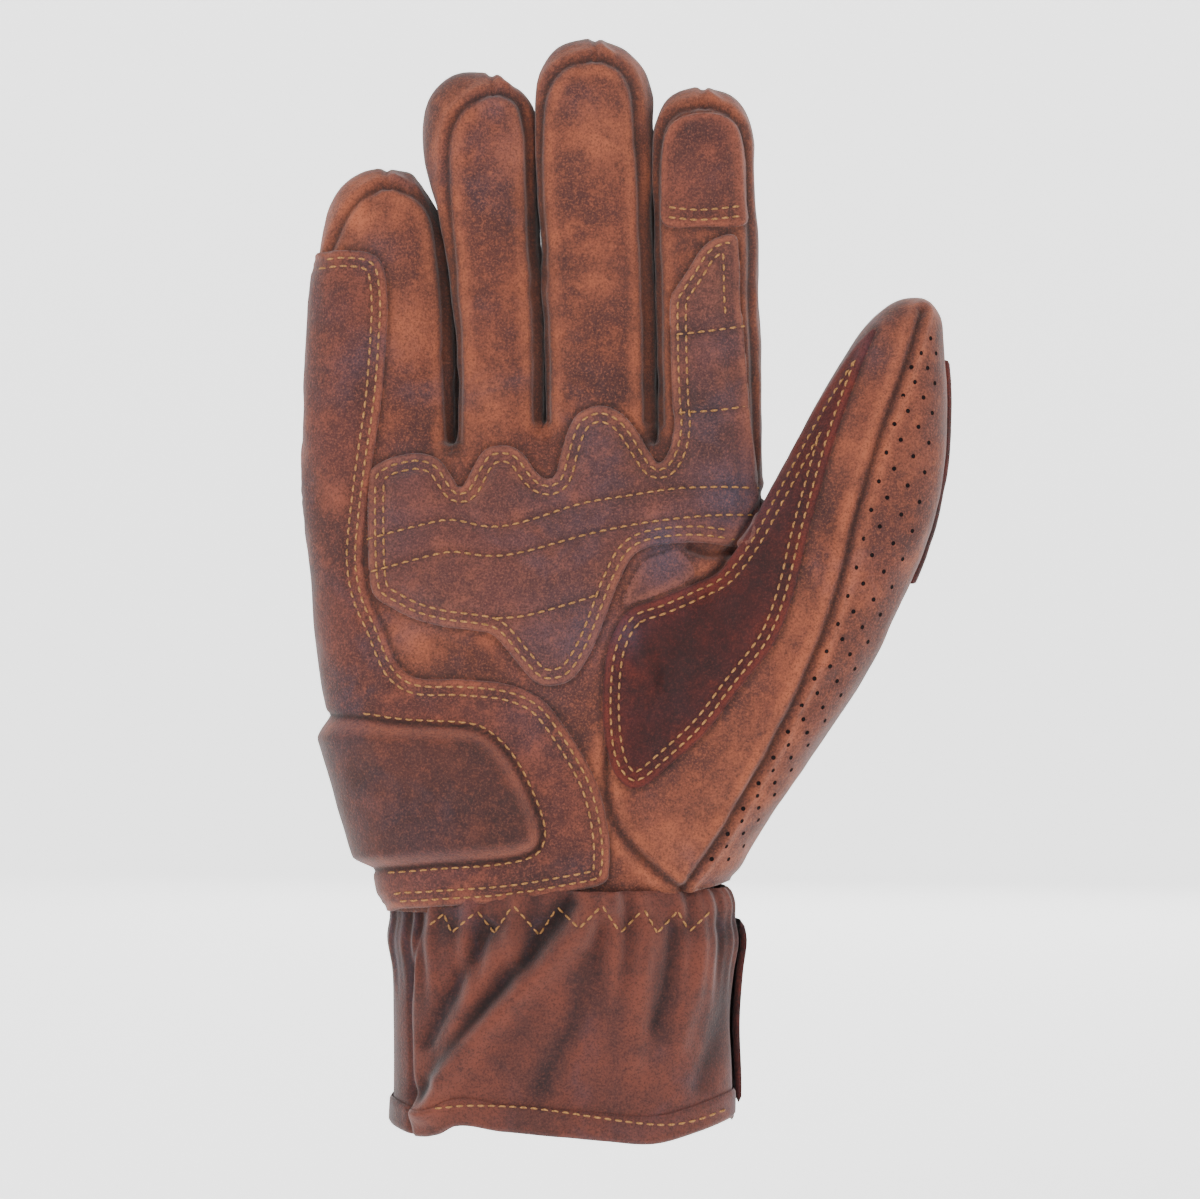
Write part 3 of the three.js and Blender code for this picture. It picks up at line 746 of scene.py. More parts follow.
def region_levels(v, apart):
    """Functions that cut the surface into regions, in order; a region is where its function is negative."""
    z = v[:, 2]
    thumb = signed(v[:, [0, 2]], THUMB_REGION)
    along = (v - THUMB_KNUCKLE) @ THUMB_AXIS + BELOW_THUMB_KNUCKLE
    yield "thumb_tip", np.maximum(thumb, -along)
    yield "thumb_base", thumb
    shifts = list(SPREAD.values())
    middles = [gap(z) + (a + b) / 2 * opened(z) for gap, a, b in zip(GAPS, shifts, shifts[1:])]
    limits = [np.full(len(z), -99.0)] + middles + [np.full(len(z), 49.0)]
    for (name, f), low, high in zip(FINGERS.items(), limits, limits[1:]):
        span = np.maximum(low - apart, apart - high)
        yield f"{name}_tip", np.maximum(span, f["pivot"] + ABOVE_KNUCKLE - z)
        yield f"{name}_base", np.maximum(span, f["pivot"] - BELOW_KNUCKLE - z)


def bind(obj, region):
    """Attaches a palm piece to the palm's body; any other piece only has its transform baked into its mesh.
    """
    if region == "palm":
        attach(obj, "palm")
        return
    if region == "thumb_base":
        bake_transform(obj)
        return
    if region == "thumb_tip":
        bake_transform(obj)
        return
    name, part = region.split("_")
    if part == "base":
        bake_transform(obj)
    else:
        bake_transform(obj)


def split(name, v, t, extra, material, slot):
    """Cuts a surface into pieces, one for each region it crosses."""
    made = {}
    regions = [r for r, _ in region_levels(v[:1], extra["apart"][:1])]
    for region in regions + ["palm"]:
        if not len(t):
            break
        if region == "palm":
            part = (v, t, extra)
        else:
            level = dict(region_levels(v, extra["apart"]))[region]
            if level.min() > -0.3:
                continue
            part = clip(v, t, level, extra)
            v, t, extra = clip(v, t, -level, extra)
            # What only touches the cut stays with the part
            level = dict(region_levels(v, extra["apart"]))[region]
            t = t[(level[t] > 0.03).any(1)]
        if not len(part[1]):
            continue
        obj = make_object(f"{name}.{region}", *part, material, slot)
        bind(obj, region)
        made[region] = obj
    return made


# ---- patches sewn on the palm side
OUTER_EDGE = [
    (-75, 205.4), (-58.4, 205.4), (-52.2, 206.1), (-45.3, 205.4), (-42.2, 202.2), (-41.2, 194.6),
    (-41.4, 187.7), (-42.6, 171.6), (-44.9, 155.5), (-46.7, 139.4), (-46.7, 132.5), (-45.3, 126.0),
    (-42.6, 120.1), (-40.2, 113.9), (-38.0, 109.9), (-33.8, 107.6), (-24.4, 107.4), (-13.8, 106.3),
    (-6.0, 103.0), (-0.7, 96.8), (4.6, 88.3), (7.8, 81.0), (9.7, 71.5), (9.8, 64.5), (8.3, 60.3),
    (-0.7, 58.2), (-13.8, 56.1), (-29.7, 55.0), (-38, 54.6), (-75, 54.0),
]
HEEL_PAD = [
    (-75, 98.9), (-50.8, 98.9), (-37.7, 97.3), (-24.4, 96.6), (-19.1, 95.2), (-13.8, 90.4), (-9.7, 83.5),
    (-6.4, 75.2), (-6.0, 70.4), (-8.5, 67.2), (-16.6, 65.5), (-29.7, 64.6), (-42.7, 63.7), (-75, 63.0),
]
GRIP = [
    (-45.8, 153.2), (-45.3, 155.5), (-41.9, 157.8), (-38.4, 158.9), (-33.8, 159.4), (-29.2, 157.8),
    (-26.2, 153.6), (-24.2, 151.6), (-21.2, 157.0), (-18.9, 160.2), (-15.4, 161.2), (-12.4, 160.8),
    (-9.7, 158.9), (-7.4, 155.5), (-5.1, 153.6), (-2.8, 154.3), (-1.2, 160.1), (0.7, 165.8), (3.0, 168.8),
    (7.6, 170.4), (12.2, 168.8), (15.6, 165.2), (18.8, 160.0), (21.2, 157.1), (23.6, 160.4), (24.6, 166.0),
    (24.2, 171.6), (23.8, 183.1), (23.8, 194.6), (25.2, 197.6), (27.8, 201.5), (30.6, 206.1),
    (34.0, 208.8), (38.6, 209.6), (39.6, 205.0), (39.9, 194.0), (40.6, 187.7), (42.2, 167.0),
    (44.0, 150.9), (44.4, 143.0), (43.4, 138.4), (39.8, 137.6), (28.3, 138.8), (16.8, 136.9),
    (12.2, 130.2), (9.0, 121.9), (5.8, 114.1), (1.8, 107.9), (-2.8, 105.8), (-7.4, 106.7), (-12.2, 112.0),
    (-16.8, 117.3), (-21.4, 118.5), (-28.5, 119.4), (-35.2, 121.2), (-40.2, 123.7), (-44.4, 126.6),
    (-45.6, 132.5), (-45.9, 144.0),
]
QUILT_LINES = [
    [(-46.5, 139.4), (-35.2, 142.4), (-26.7, 144.0), (-17.9, 142.4), (-10.1, 143.5), (3.2, 147.7),
        (13.8, 149.5), (24.2, 151.1), (34.7, 151.6), (44.3, 151.3)],
    [(-45.5, 132.0), (-35.2, 134.8), (-26.7, 136.6), (-17.9, 135.7), (-10.1, 136.6), (3.2, 140.3),
        (13.8, 142.6), (24.2, 144.2), (34.7, 145.1), (42.8, 145.1)],
    [(-16.8, 121.4), (-9.9, 121.9), (-0.5, 124.4), (7.6, 126.9)],
    [(24.8, 186.6), (32.9, 187.5), (41.0, 188.6)],
    [(25.3, 168.6), (35.2, 169.3), (42.2, 170.4)],
]
THUMB_BACK = [(66, 131), (80, 129.5), (95, 132), (97, 155), (93, 176), (84, 181), (74, 178), (68, 160)]
INDEX_TIP = [
    (22.4, 211.8), (21.6, 219.9), (21.9, 229.1), (23.0, 233.6), (26.0, 236.6), (31.7, 237.8),
    (36.6, 236.8), (39.6, 233.6), (41.0, 226.8), (41.2, 217.6), (40.9, 211.8), (31, 211.4),
]
THUMB_PATCH = [
    (14.3, 123.3), (10.0, 116.4), (8.4, 107.4), (8.4, 95.7), (10.1, 87.2), (13.8, 82.6), (17.9, 82.8),
    (23.0, 86.9), (32.0, 95.2), (39.6, 105.1), (46.7, 114.1), (50.3, 121.5), (53.0, 130.3), (55.2, 139.8),
    (58.4, 151.4), (61.6, 162.5), (65.0, 172.3), (68.6, 181.6), (71.2, 188.0), (67.0, 184.6),
    (62.0, 177.4), (57.0, 169.2), (51.6, 159.4), (46.6, 150.2), (41.4, 140.6), (35.4, 132.6),
    (29.0, 129.3), (21.4, 126.0),
]
WEB_PATCH = [
    (16.8, 133.6), (21.4, 136.0), (26.2, 136.9), (29.4, 131.3), (22.5, 127.4), (16.8, 125.2),
    (12.6, 124.6),
]


def rounded(f, rise):
    """A patch's edge, rounded over its thickness; f is negative inside."""
    inset = np.clip(-f / 1.1, 0, 1)
    return rise * np.sqrt(1 - (1 - inset) ** 2) - 0.12


SURFACES = []  # what the stitches and holes are laid on


def edged(v, t, extra, thickness):
    """Adds the cut edge: every rim goes straight down by the leather's thickness."""
    rim = rim_edges(t)
    start = len(v)
    used = np.unique(rim)
    place = {a: start + i for i, a in enumerate(used)}
    low = v[used] - extra["n"][used] * thickness
    extra = {k: np.concatenate([x, x[used]]) for k, x in extra.items()}
    extra["fold"][start:] = 0.7
    extra["stain"][start:] = 0.6
    walls = [tri for a, b in rim for tri in ((b, a, place[a]), (b, place[a], place[b]))]
    return np.vstack([v, low]), np.vstack([t, np.array(walls)]), extra


DOUBLE_ROW = (ROW_INSET, ROW_INSET + ROW_GAP)


def patch(
    name, outline, material, slot,
    rise=OVERLAY, back=0.0, rows=DOUBLE_ROW, extra_rise=None, behind=False, worn=0.75,
):
    """A piece of leather cut from the skin's surface along an outline and raised above it, by region."""
    line = curve(outline, 0.8, closed=True)
    if behind:
        f = np.maximum(signed(skin_v[:, [0, 2]], line), back - skin_v[:, 1])
    else:
        f = np.maximum(signed(seen(skin_v), line), skin_v[:, 1] - back)
    beside = 0.7 * bell(f, 0.9) * (f > 0)  # painted shade on the skin against the patch's edge
    skin_extra["fold"] = np.maximum(skin_extra["fold"], beside)
    v, t, extra = clip(skin_v, skin_t, f, skin_extra | {"f": f})
    f = extra.pop("f")
    h = rounded(f, rise)
    for row in rows:
        h = h - 0.3 * bell(f + row, 0.8)
    extra["wear"] = np.maximum(extra["wear"] * 0.7, worn * bell(f + 0.9, 0.8))
    extra["fold"] = extra["fold"] * 0.3
    if extra_rise:
        h = h + extra_rise(seen(v), f, extra, v)
    v, t, extra = edged(v + extra["n"] * h[:, None], t, extra, 0.35 + 0.5 * rise)
    SURFACES.append((v, t))
    return split(name, v, t, extra, material, slot)


def heel_rise(p, f, extra, v):
    d = -signed(p, curve(HEEL_PAD, 0.8, closed=True))
    extra["wear"] = np.maximum(extra["wear"], 0.6 * bell(d - 1.5, 1.6))
    # painted shade along the pad's sunken seam
    extra["fold"] = np.maximum(extra["fold"], 0.9 * bell(d, 0.7))
    extra["fold"] = np.maximum(extra["fold"], 0.42 * smooth((d - 1.5) / 3))
    round_the_side = smooth((7.0 - v[:, 1]) / 6)
    return round_the_side * (HEEL_RISE * smooth((d - 0.3) / 4.0) ** 0.8 - 0.6 * bell(d, 0.8))


def dark_middle(p, f, extra, v):
    extra["fold"] = np.maximum(extra["fold"], 0.3 * smooth((-f - 4.5) / 4))
    return 0.0


def quilt_rise(p, f, extra, v):
    d = np.min([distance(p, curve(line)) for line in QUILT_LINES], axis=0)
    # painted shade in the sunken quilting lines
    extra["fold"] = np.maximum(extra["fold"], 0.3 * bell(d, 0.8))
    puff = QUILT_RISE * (1 - bell(d, 2.6)) * smooth((-f - 3.6) / 3)
    return puff - 0.35 * bell(d, 0.7)


patch("web_patch", WEB_PATCH, PATCH, "overlay_leather", rise=0.5, rows=(1.2,))
outer_edge = patch("outer_edge_overlay", OUTER_EDGE, EDGE, "overlay_leather", back=7.0, extra_rise=heel_rise)
grip = patch("grip_patch", GRIP, PATCH, "overlay_leather", extra_rise=quilt_rise)
tip_patch = patch("index_tip_patch", INDEX_TIP, EDGE, "thumb_patch_leather", rise=0.8, rows=())
thumb_patch = patch("thumb_patch", THUMB_PATCH, DARK, "thumb_patch_leather", extra_rise=dark_middle)
patch(
    "thumb_back_patch", THUMB_BACK, DARK, "thumb_patch_leather",
    rise=1.5, back=-4.5, behind=True, worn=0.0,
)
SURFACES.append((skin_v, skin_t))


def lining(name, f):
    """Leather that goes on inside, past a place where two pieces part when they move."""
    v, t, extra = clip(skin_v, skin_t, f, skin_extra)
    v = v - extra["n"] * LINING_DEPTH
    extra["fold"] = np.maximum(extra["fold"], 0.25)
    piece = make_object(name, v, t, extra, MAIN, "main_leather")
    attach(piece, "palm")


inside_thumb = signed(skin_v[:, [0, 2]], THUMB_REGION)
x, z = skin_v[:, 0], skin_v[:, 2]
lining("thumb_web_lining", np.maximum.reduce([inside_thumb, -inside_thumb - 11, 112 - z, z - 147]))
pivots = [f["pivot"] for f in FINGERS.values()]
for i, (gap, low_pivot) in enumerate(zip(GAPS, map(min, pivots, pivots[1:]))):
    span = [np.abs(x - gap(z)) - 5, low_pivot - 12 - z, z - low_pivot + 1]
    lining(f"web_lining_{i + 1}", np.maximum.reduce(span))
skin_v, skin_t, skin_extra = edged(skin_v, skin_t, skin_extra, LEATHER)
skin_pieces = split("hand_skin", skin_v, skin_t, skin_extra, MAIN, "main_leather")

# ---- cuff, hem, elastic and closure flap
CUFF_TOP = 60.0
HEM_WIDTH = 6.2
CUFF_FOLDS = [  # ridge or valley lines on the palm side, height, half width
    ([(8, 56), (-1.6, 45.1), (-15.4, 31.3), (-24.6, 19.8), (-31.5, 8.0)], 3.4, 3.4),
    ([(1, 56), (-8, 44), (-20.5, 30), (-29, 18), (-33, 12)], -3.0, 2.4),
    ([(-13.1, 48.5), (-20, 35.9), (-29.2, 16.3)], 2.2, 2.4),
    ([(-18, 50), (-25.5, 36), (-31.5, 24)], -1.8, 1.9),
    ([(20, 50), (16, 36), (15, 20)], 1.2, 2.8),
    ([(30, 52), (29, 40), (25, 24)], 1.3, 2.6),
    ([(25, 50), (23, 38), (20, 28)], -1.3, 2.2),
    ([(36, 50), (35, 30), (30, 14)], -1.2, 2.6),
    ([(4, 44), (2, 30), (-6, 14)], -1.2, 3.0),
]
CUFF_FOLDS = [(curve(line), height, half_width) for line, height, half_width in CUFF_FOLDS]
LEFT_SEAM = [(-33.8, 60), (-33.8, 53.1), (-35.6, 33.6), (-35.0, 10.6), (-34.6, -4)]
cuff_foot = profile((-40, 6.0), (-32, 4.6), (-27, 5.2), (-23.5, 7.0), (-10.8, 6.6), (7.6, 4.6), (19, 3.7),
                    (30, 5.8), (39, 8.0))
cuff_half = profile((0, 38.8), (20, 38.6), (40, 39.2), (52, 40.4), (57, 39.4), (60, 38.0))
cuff_deep = profile((0, 24.5), (25, 23.0), (45, 20.4), (52, 19.8), (60, 18.6))


def cuff_surface(a, z, lift=0.0, gathered=1.0):
    """A point of the cuff at the angle a (thumb side 0, back 90 degrees) and height z, lifted outwards."""
    c, s = np.cos(a), np.sin(a)
    c, s = np.sign(c) * np.abs(c) ** 0.86, np.sign(s) * np.abs(s) ** 0.86
    half, deep = cuff_half(z), cuff_deep(z)
    out = np.stack([c / half, s / deep, np.zeros_like(z)], 1)
    out /= np.linalg.norm(out, axis=1)[:, None]
    p = np.stack([c * half - 1.2, s * deep, z], 1)
    gather = smooth((z - 30) / 18)
    wave = np.sin(a * 27 + 1.3 * np.sin(a * 5)) + 0.6 * np.sin(a * 43 + 2.1)
    relief = (0.25 + 0.5 * np.abs(s) ** 2) * wave * gather * gathered + 0.5 * lumps(p, 14, 21)
    relief -= 1.0 * bell(z - 52.5, 3.6)
    flat = seen(p)
    palm_side = smooth((-s - 0.05) / 0.3)
    valley = np.zeros(len(p))
    for line, height, half_width in CUFF_FOLDS:
        d = distance(flat, line)
        relief += palm_side * height * bell(d, half_width) * smooth((z - 2) / 10)
        if height < 0:
            # painted shade in the cuff's valleys
            valley_shade = 0.28 * -height * bell(d, 0.6 * half_width)
            valley = np.maximum(valley, palm_side * valley_shade)
    step = flat[:, 0] - np.interp(flat[:, 1], *np.array(LEFT_SEAM[::-1], float).T[::-1])
    relief += palm_side * 1.3 * smooth(step / 1.2 + 0.5) - palm_side * 0.9 * bell(step, 0.8)
    return p + out * (relief + lift)[:, None], relief, valley


def cuff_band(
    name, angles, low, high, lift, thickness, material, slot, rows, columns,
    closed=False, corner=0.0, from_lift=None, gathered=1.0,
):
    """A strip of the cuff with a rounded edge, between two angles in degrees. low None: from the hem up."""
    a0, a1 = np.radians(angles)
    u = np.linspace(0, 1, columns + (0 if closed else 1), endpoint=not closed)
    angle = a0 + (a1 - a0) * u
    along = (1 - u) * (a1 - a0) * 40 if corner else None
    across = np.linspace(0, 1, rows)
    ring = np.concatenate([across, across[::-1]])
    level = np.concatenate([np.zeros(rows), np.ones(rows)])
    bulge = np.sqrt(np.clip(1 - (2 * ring - 1) ** 2, 0, 1)) ** 0.18
    if low is None:
        behind = 2.0 + 4 * np.abs(np.cos(angle)) ** 3
        foot = np.where(np.sin(angle) < 0, cuff_foot(40 * np.cos(angle)), behind)
    else:
        foot = np.full(len(angle), float(low))
    top = high(foot) if callable(high) else np.full(len(angle), high)
    cut = corner * (1 - np.sqrt(1 - np.clip(1 - along / corner, 0, 1) ** 2)) if corner else 0 * angle
    z = ((foot + cut)[:, None] + (top - foot - 2 * cut)[:, None] * ring).ravel()
    offset = lift + thickness * (0.5 + np.tile(np.where(level == 0, -0.5, 0.5) * bulge, len(angle)))
    if from_lift is not None:
        share = smooth(np.repeat(u, 2 * rows) / 0.4)
        offset = offset + (from_lift - lift) * (1 - share)
    v, relief, valley = cuff_surface(np.repeat(angle, 2 * rows), z, offset, gathered)
    m = 2 * rows
    t = []
    for i in range(len(angle) if closed else len(angle) - 1):
        j = (i + 1) % len(angle)
        for k in range(m):
            l = (k + 1) % m
            a, b, c, d = i * m + k, i * m + l, j * m + l, j * m + k
            t += [(a, b, c), (a, c, d)]
    if not closed:
        for i, flip in ((0, True), (len(angle) - 1, False)):
            for k in range(rows - 1):
                a, b, c, d = i * m + k, i * m + k + 1, i * m + m - 2 - k, i * m + m - 1 - k
                t += [(a, c, b), (a, d, c)] if flip else [(a, b, c), (a, c, d)]
    t = np.array(t)[:, ::-1]
    level = np.tile(level, len(angle))
    # painted highlight on the cuff's raised ridges, painted shade in its valleys, and a darker inside face
    extra = {
        "wear": np.clip(relief / 2.6, 0, 1) * 0.9 * (level > 0),
        "fold": np.clip(np.maximum(-relief / 2.6, valley), 0, 0.85) * (level > 0) + 0.35 * (level == 0),
        "stain": np.clip(0.5 - np.abs(relief + 0.6), 0, 0.5) * (level > 0) * smooth((z - 8) / 6),
    }
    outside = (level[t] > 0).all(1)
    SURFACES.append((v, t[outside]))
    return make_object(name, v, t, extra, material, slot)


def hem_top(foot):
    return foot + HEM_WIDTH


AROUND = (0, 360)
TAPE = (60, 107)
cuff = cuff_band("cuff", AROUND, None, CUFF_TOP, -1.4, 1.4, CUFF, "main_leather", 64, 420, closed=True)
hem = cuff_band(
    "hem_binding", AROUND, None, hem_top, -0.25, 1.1, CUFF, "binding_leather", 9, 420, closed=True
)
inner = cuff_band(
    "hem_inside", AROUND, None, hem_top, -2.5, 1.0, DARK, "binding_leather", 7, 260, closed=True
)
elastic = cuff_band("elastic_band", (200, 340), 46.5, 54.5, -3.2, 1.0, ELASTIC, "elastic", 6, 160)
for piece in (cuff, hem, inner, elastic):
    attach(piece, "palm")
loop = cuff_band("loop_strip", TAPE, 14, 48, 0.1, 0.8, BLACK, "hook_loop_tape", 8, 60, gathered=0.3)
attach(loop, "palm")
hook = cuff_band("hook_strip", TAPE, 14, 48, 0.95, 0.7, BLACK, "hook_loop_tape", 8, 60, gathered=0.2)
flap = cuff_band(
    "flap", (-6, 112), 10.5, 52, 1.7, 1.6, DARK, "main_leather", 30, 200,
    corner=7.0, from_lift=0.9, gathered=0.2,
)
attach(hook, "closure_flap")
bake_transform(flap)

# ---- thread and perforations
OUTSIDE = 200  # a distance that is clear of the glove
HAND_START = 56  # everything below this height is on the palm's body
camera_place = Vector((CAMERA_X, -CAMERA_DISTANCE, CAMERA_Z))
laid_v, laid_t = join(SURFACES)
surface = BVHTree.FromPolygons(laid_v.tolist(), laid_t.tolist())


def on_glove(x, z, behind=False):
    """The point and normal of the surface seen at (x, z), from the palm side or straight from the back."""
    if behind:
        hit, normal, _, _ = surface.ray_cast(Vector((x, OUTSIDE, z)), Vector((0, -1, 0)))
        toward = Vector((0, 1, 0))
    else:
        ray = (Vector((x, 0, z)) - camera_place).normalized()
        hit, normal, _, _ = surface.ray_cast(camera_place + ray * (CAMERA_DISTANCE - OUTSIDE), ray)
        toward = -ray
    if hit is None:
        return None
    return (hit, normal if normal.dot(toward) > 0 else -normal)


def region_of(p):
    v = np.array([p])
    if p[2] > HAND_START:
        for name, level in region_levels(v, spread(v)[:, 0]):
            if level[0] < 0:
                return name
    return "palm"


class Bits:
    """Many small bodies gathered into one piece for each region."""

    def __init__(self, name, material, slot):
        self.name, self.material, self.slot, self.groups = name, material, slot, {}

    def add(self, centre, v, t, body=None):
        self.groups.setdefault(body or region_of(centre), []).append((v, t))

    def build(self):
        for region, parts in self.groups.items():
            v, t = join(parts)
            obj = make_object(f"{self.name}.{region}", v, t, None, self.material, self.slot)
            if region == "closure_flap":
                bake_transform(obj)
            else:
                bind(obj, region)


def stitch(start, end, normal):
    """One stitch: a short bent cord that rises out of the leather and goes back in."""
    along = (end - start).normalized()
    side = along.cross(normal).normalized()
    up = side.cross(along).normalized()
    v = []
    for u in np.linspace(0, 1, 6):
        centre = start.lerp(end, u) + up * (math.sin(math.pi * u) * 0.42 - 0.2)
        r = THREAD / 2 * (0.55 + 0.45 * math.sin(math.pi * u))
        for a in np.linspace(0, 2 * math.pi, 7)[:-1]:
            v.append(centre + side * (r * math.cos(a)) + up * (r * math.sin(a)))
    t = []
    for i in range(5):
        for j in range(6):
            k = (j + 1) % 6
            a, b, c, d = i * 6 + j, i * 6 + k, i * 6 + 6 + k, i * 6 + 6 + j
            t += [(a, b, c), (a, c, d)]
    t += [(0, j + 1, j) for j in range(1, 5)] + [(30, 30 + j, 30 + j + 1) for j in range(1, 5)]
    return np.array([tuple(p) for p in v]), np.array(t)


thread = Bits("thread", THREAD_GOLD, "binding_leather")
holes = Bits("perforations", HOLE, "main_leather")


def inset_line(outline, inset):
    """A closed outline moved inwards, or outwards where inset is negative."""
    line = curve(outline, 0.5, closed=True)
    x, z = line[:, 0], line[:, 1]
    area = np.sum(x * np.roll(z, -1) - np.roll(x, -1) * z)
    inset = inset if area > 0 else -inset
    d = np.gradient(line, axis=0)
    d /= np.maximum(np.linalg.norm(d, axis=1), 1e-9)[:, None]
    moved = line + np.stack([-d[:, 1], d[:, 0]], 1) * inset
    return moved[distance(moved, line) > abs(inset) * 0.93]


def sew(line, behind=False, body=None, inside=None, pitch=STITCH_PITCH):
    """A row of stitches along a seen line."""
    line = resample(line, 0.25)
    lengths = np.concatenate([[0], np.cumsum(np.linalg.norm(np.diff(line, axis=0), axis=1))])
    for at in np.arange(pitch / 2, lengths[-1], pitch):
        ends = [at - STITCH_LENGTH / 2, at + STITCH_LENGTH / 2]
        (xa, xb), (za, zb) = np.interp(ends, lengths, line[:, 0]), np.interp(ends, lengths, line[:, 1])
        short = math.hypot(xb - xa, zb - za) < 0.6 * STITCH_LENGTH
        if short or (inside and not inside((xa + xb) / 2, (za + zb) / 2)):
            continue
        a, b = on_glove(xa, za, behind), on_glove(xb, zb, behind)
        if a and b and (a[0] - b[0]).length < 2.0 * STITCH_LENGTH:
            v, t = stitch(a[0], b[0], (a[1] + b[1]).normalized())
            thread.add(np.array((a[0] + b[0]) / 2), v, t, body)


def sew_outline(outline, insets, **options):
    for inset in insets:
        sew(inset_line(outline, inset), **options)


GLOVE_LEFT = -56.5  # the outlines run on past the glove's edge
sew_outline(OUTER_EDGE, DOUBLE_ROW, inside=lambda x, z: x > GLOVE_LEFT)
sew_outline(HEEL_PAD, (-0.9,), inside=lambda x, z: x > GLOVE_LEFT and z < 99.5)
sew_outline(GRIP, DOUBLE_ROW, inside=lambda x, z: not (x > 36.5 and 140 < z < 207))
for quilt in QUILT_LINES:
    sew(curve(quilt, 0.5))
sew_outline(THUMB_PATCH, DOUBLE_ROW)
for row in ([(23, 216), (30.6, 215.3), (40.0, 216.2)], [(23, 213.7), (30.6, 213.0), (40.0, 213.9)]):
    sew(curve(row, 0.5))
ZIGZAG = [
    (-33.6, 49.2), (-28.3, 53.4), (-26.5, 49.0), (-20.7, 54.1), (-16.6, 49.0), (-12.4, 55.4), (-6.4, 48.5),
    (-2.3, 55.0), (2.8, 50.0), (8.1, 55.4), (12.2, 49.0), (17.7, 54.5), (20.7, 49.0), (25.5, 54.1),
    (28.1, 49.2), (33, 54),
]
for a, b in zip(ZIGZAG, ZIGZAG[1:]):
    sew(np.array([a, b], float), pitch=2.3, body="palm")
HEM_ROW = [(-30.8, 8.6), (-22.3, 9.3), (-10, 8.8), (-1.6, 7.8), (19.1, 5.0), (28.3, 5.6), (36.5, 8.4)]
sew(curve(HEM_ROW, 0.5), body="palm")
sew_outline(THUMB_BACK, (ROW_INSET,), behind=True)
FLAP_ROW = [(38, 14), (38, 48.5), (20, 49), (0, 49), (-10.5, 48.8), (-12.8, 45), (-12.8, 18), (-10.5, 14),
            (0, 13.6), (20, 13.6)]
sew(resample(np.array(FLAP_ROW + FLAP_ROW[:1], float), 0.5), behind=True, body="closure_flap")
thread.build()

perforation_edge = profile(*[(z, x) for x, z in PERFORATED_SEAM])
glove_edge = profile((61, 38.6), (75, 45.8), (88.8, 55.2), (102.6, 65.1), (116.4, 72.5), (130, 78.7),
                     (144, 84.0), (151, 85.3), (171.6, 86.9), (192, 86.0))
for row, share in enumerate((0.17, 0.34, 0.58, 0.78)):
    zs = np.arange(66.0, 186.0, 0.25)
    line = np.stack([perforation_edge(zs) + share * (glove_edge(zs) - perforation_edge(zs)), zs], 1)
    line = resample(line, HOLE_PITCH / 2)[row % 2 :: 2]
    for x, z in line:
        if glove_edge(z) - perforation_edge(z) < 5.5 + 5 * abs(share - 0.5):
            continue
        place = on_glove(x, z)
        if not place:
            continue
        hit, normal = place
        side = normal.cross(Vector((0, 0, 1))).normalized()
        up = side.cross(normal)
        turns = np.linspace(0, 2 * math.pi, 13)[:-1]
        rim = [hit + normal * 0.07 + (side * math.cos(a) + up * math.sin(a)) * HOLE_RADIUS for a in turns]
        v = np.array([tuple(p) for p in rim + [hit + normal * 0.02]])
        holes.add(np.array(hit), v, np.array([(j, (j + 1) % 12, 12) for j in range(12)]))
holes.build()

# ---- which CAD nodes each piece stands for
NODES = {
    "palm": ["palm_panel", "back_panel", "little_edge_wall", "index_edge_wall"],
    "thumb_base": ["thumb_base_side_panel", "thumb_base_perforated_panel", "thumb_base_back_panel"],
    "thumb_tip": ["thumb_tip_side_panel", "thumb_tip_perforated_panel", "thumb_tip_back_panel"],
}
for finger in FINGERS:
    for part in ("base", "tip"):
        sides = ("front", "right", "back") if finger == "little" else ("front", "right", "back", "left")
        NODES[f"{finger}_{part}"] = [f"{finger}_{part}_{side}" for side in sides]
for region, names in NODES.items():
    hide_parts(*names)
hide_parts("outer_edge_overlay", "heel_pad_foam")
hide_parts("little_edge_lower")
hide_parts("little_edge_upper")
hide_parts("grip_patch")
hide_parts("index_grip_lower")
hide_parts("index_grip_upper")
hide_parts("index_tip_patch")
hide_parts("thumb_patch_palm")
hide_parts("thumb_base_patch")
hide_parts("thumb_tip_patch")
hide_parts("cuff_front", "cuff_back")
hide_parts("hem_front", "hem_back")
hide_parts("wrist_elastic")
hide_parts("loop_tape")
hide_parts("hook_tape")
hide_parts("closure_flap")

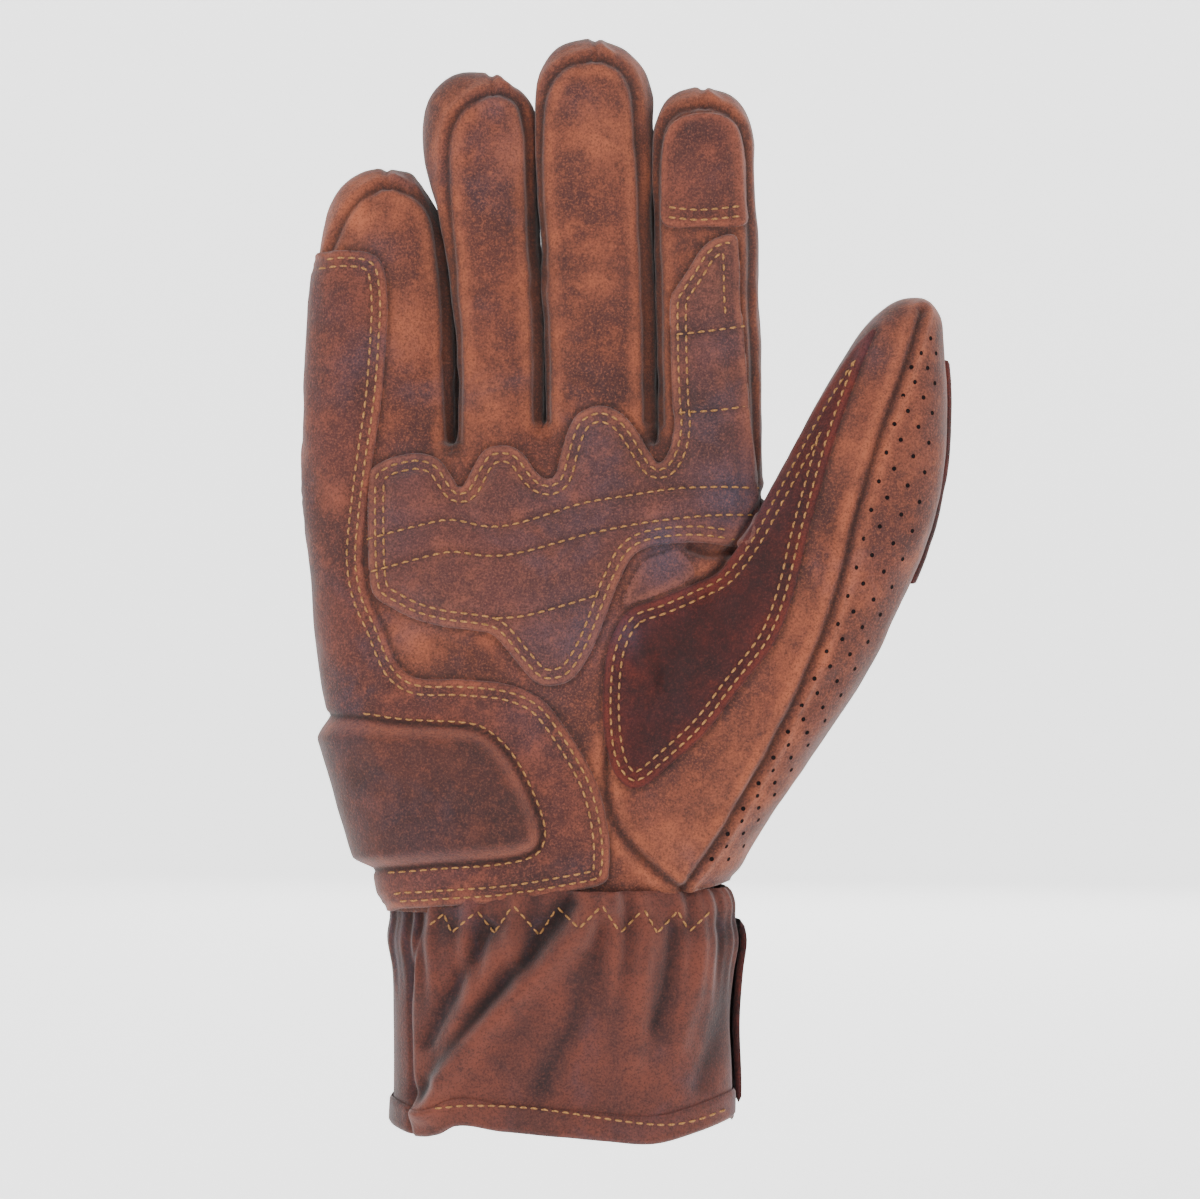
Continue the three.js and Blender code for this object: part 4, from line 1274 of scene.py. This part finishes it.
# ---- camera, lights and floor
camera = bpy.data.cameras.new("camera")
camera.sensor_width = 36
camera.lens = 36 * CAMERA_DISTANCE / FRAME_WIDTH
camera_object = bpy.data.objects.new("camera", camera)
camera_object.location = (CAMERA_X * MM, -CAMERA_DISTANCE * MM, CAMERA_Z * MM)
camera_object.rotation_euler = (math.pi / 2, 0, 0)
bpy.context.scene.collection.objects.link(camera_object)
bpy.context.scene.camera = camera_object


def area_light(name, location, target, size, power):
    light = bpy.data.lights.new(name, "AREA")
    light.size = size
    light.energy = power
    o = bpy.data.objects.new(name, light)
    o.location = location
    o.rotation_euler = (Vector(target) - Vector(location)).to_track_quat("-Z", "Y").to_euler()
    bpy.context.scene.collection.objects.link(o)


area_light("key", (-0.7, -0.9, 0.95), (0, 0, 0.13), 0.8, 11)
area_light("fill", (0.95, -0.8, 0.35), (0, 0, 0.12), 0.9, 4)
area_light("top", (0.0, 0.1, 1.2), (0, 0, 0.12), 0.8, 4.5)
area_light("rear", (0.2, 1.3, 0.6), (0, 0, 0.12), 1.0, 7)
world = bpy.data.worlds.new("studio")
world.use_nodes = True
world.node_tree.nodes["Background"].inputs["Color"].default_value = (1, 1, 1, 1)
world.node_tree.nodes["Background"].inputs["Strength"].default_value = 0.25
bpy.context.scene.world = world


def backdrop():
    """A floor that curves up into a wall all round."""
    low, radius, bend, wall, around = -0.05, 3.0, 1.2, 2.6, 48
    line = [(0.0, low), (radius - bend, low)]
    for a in np.linspace(0, math.pi / 2, 13)[1:]:
        line.append((radius - bend * (1 - math.sin(a)), low + bend * (1 - math.cos(a))))
    line += [(radius, wall)]
    turns = np.linspace(0, 2 * math.pi, around, endpoint=False)
    v = np.array([(r * math.cos(a), r * math.sin(a), z) for a in turns for r, z in line]) / MM
    n = len(line)
    t = []
    for i in range(around):
        a, b = i * n, (i + 1) % around * n
        t.append((a, a + 1, b + 1))
        for k in range(1, n - 1):
            t += [(a + k, a + k + 1, b + k), (b + k, a + k + 1, b + k + 1)]
    t = np.array(t)[:, ::-1]
    s = Nodes("backdrop")
    s.shader.inputs["Base Color"].default_value = (0.95, 0.95, 0.95, 1)
    s.shader.inputs["Roughness"].default_value = 1.0
    s.shader.inputs["Emission Color"].default_value = (1, 1, 1, 1)
    s.shader.inputs["Emission Strength"].default_value = 1.1
    return make_object("backdrop", v, t, None, s.material)


backdrop()
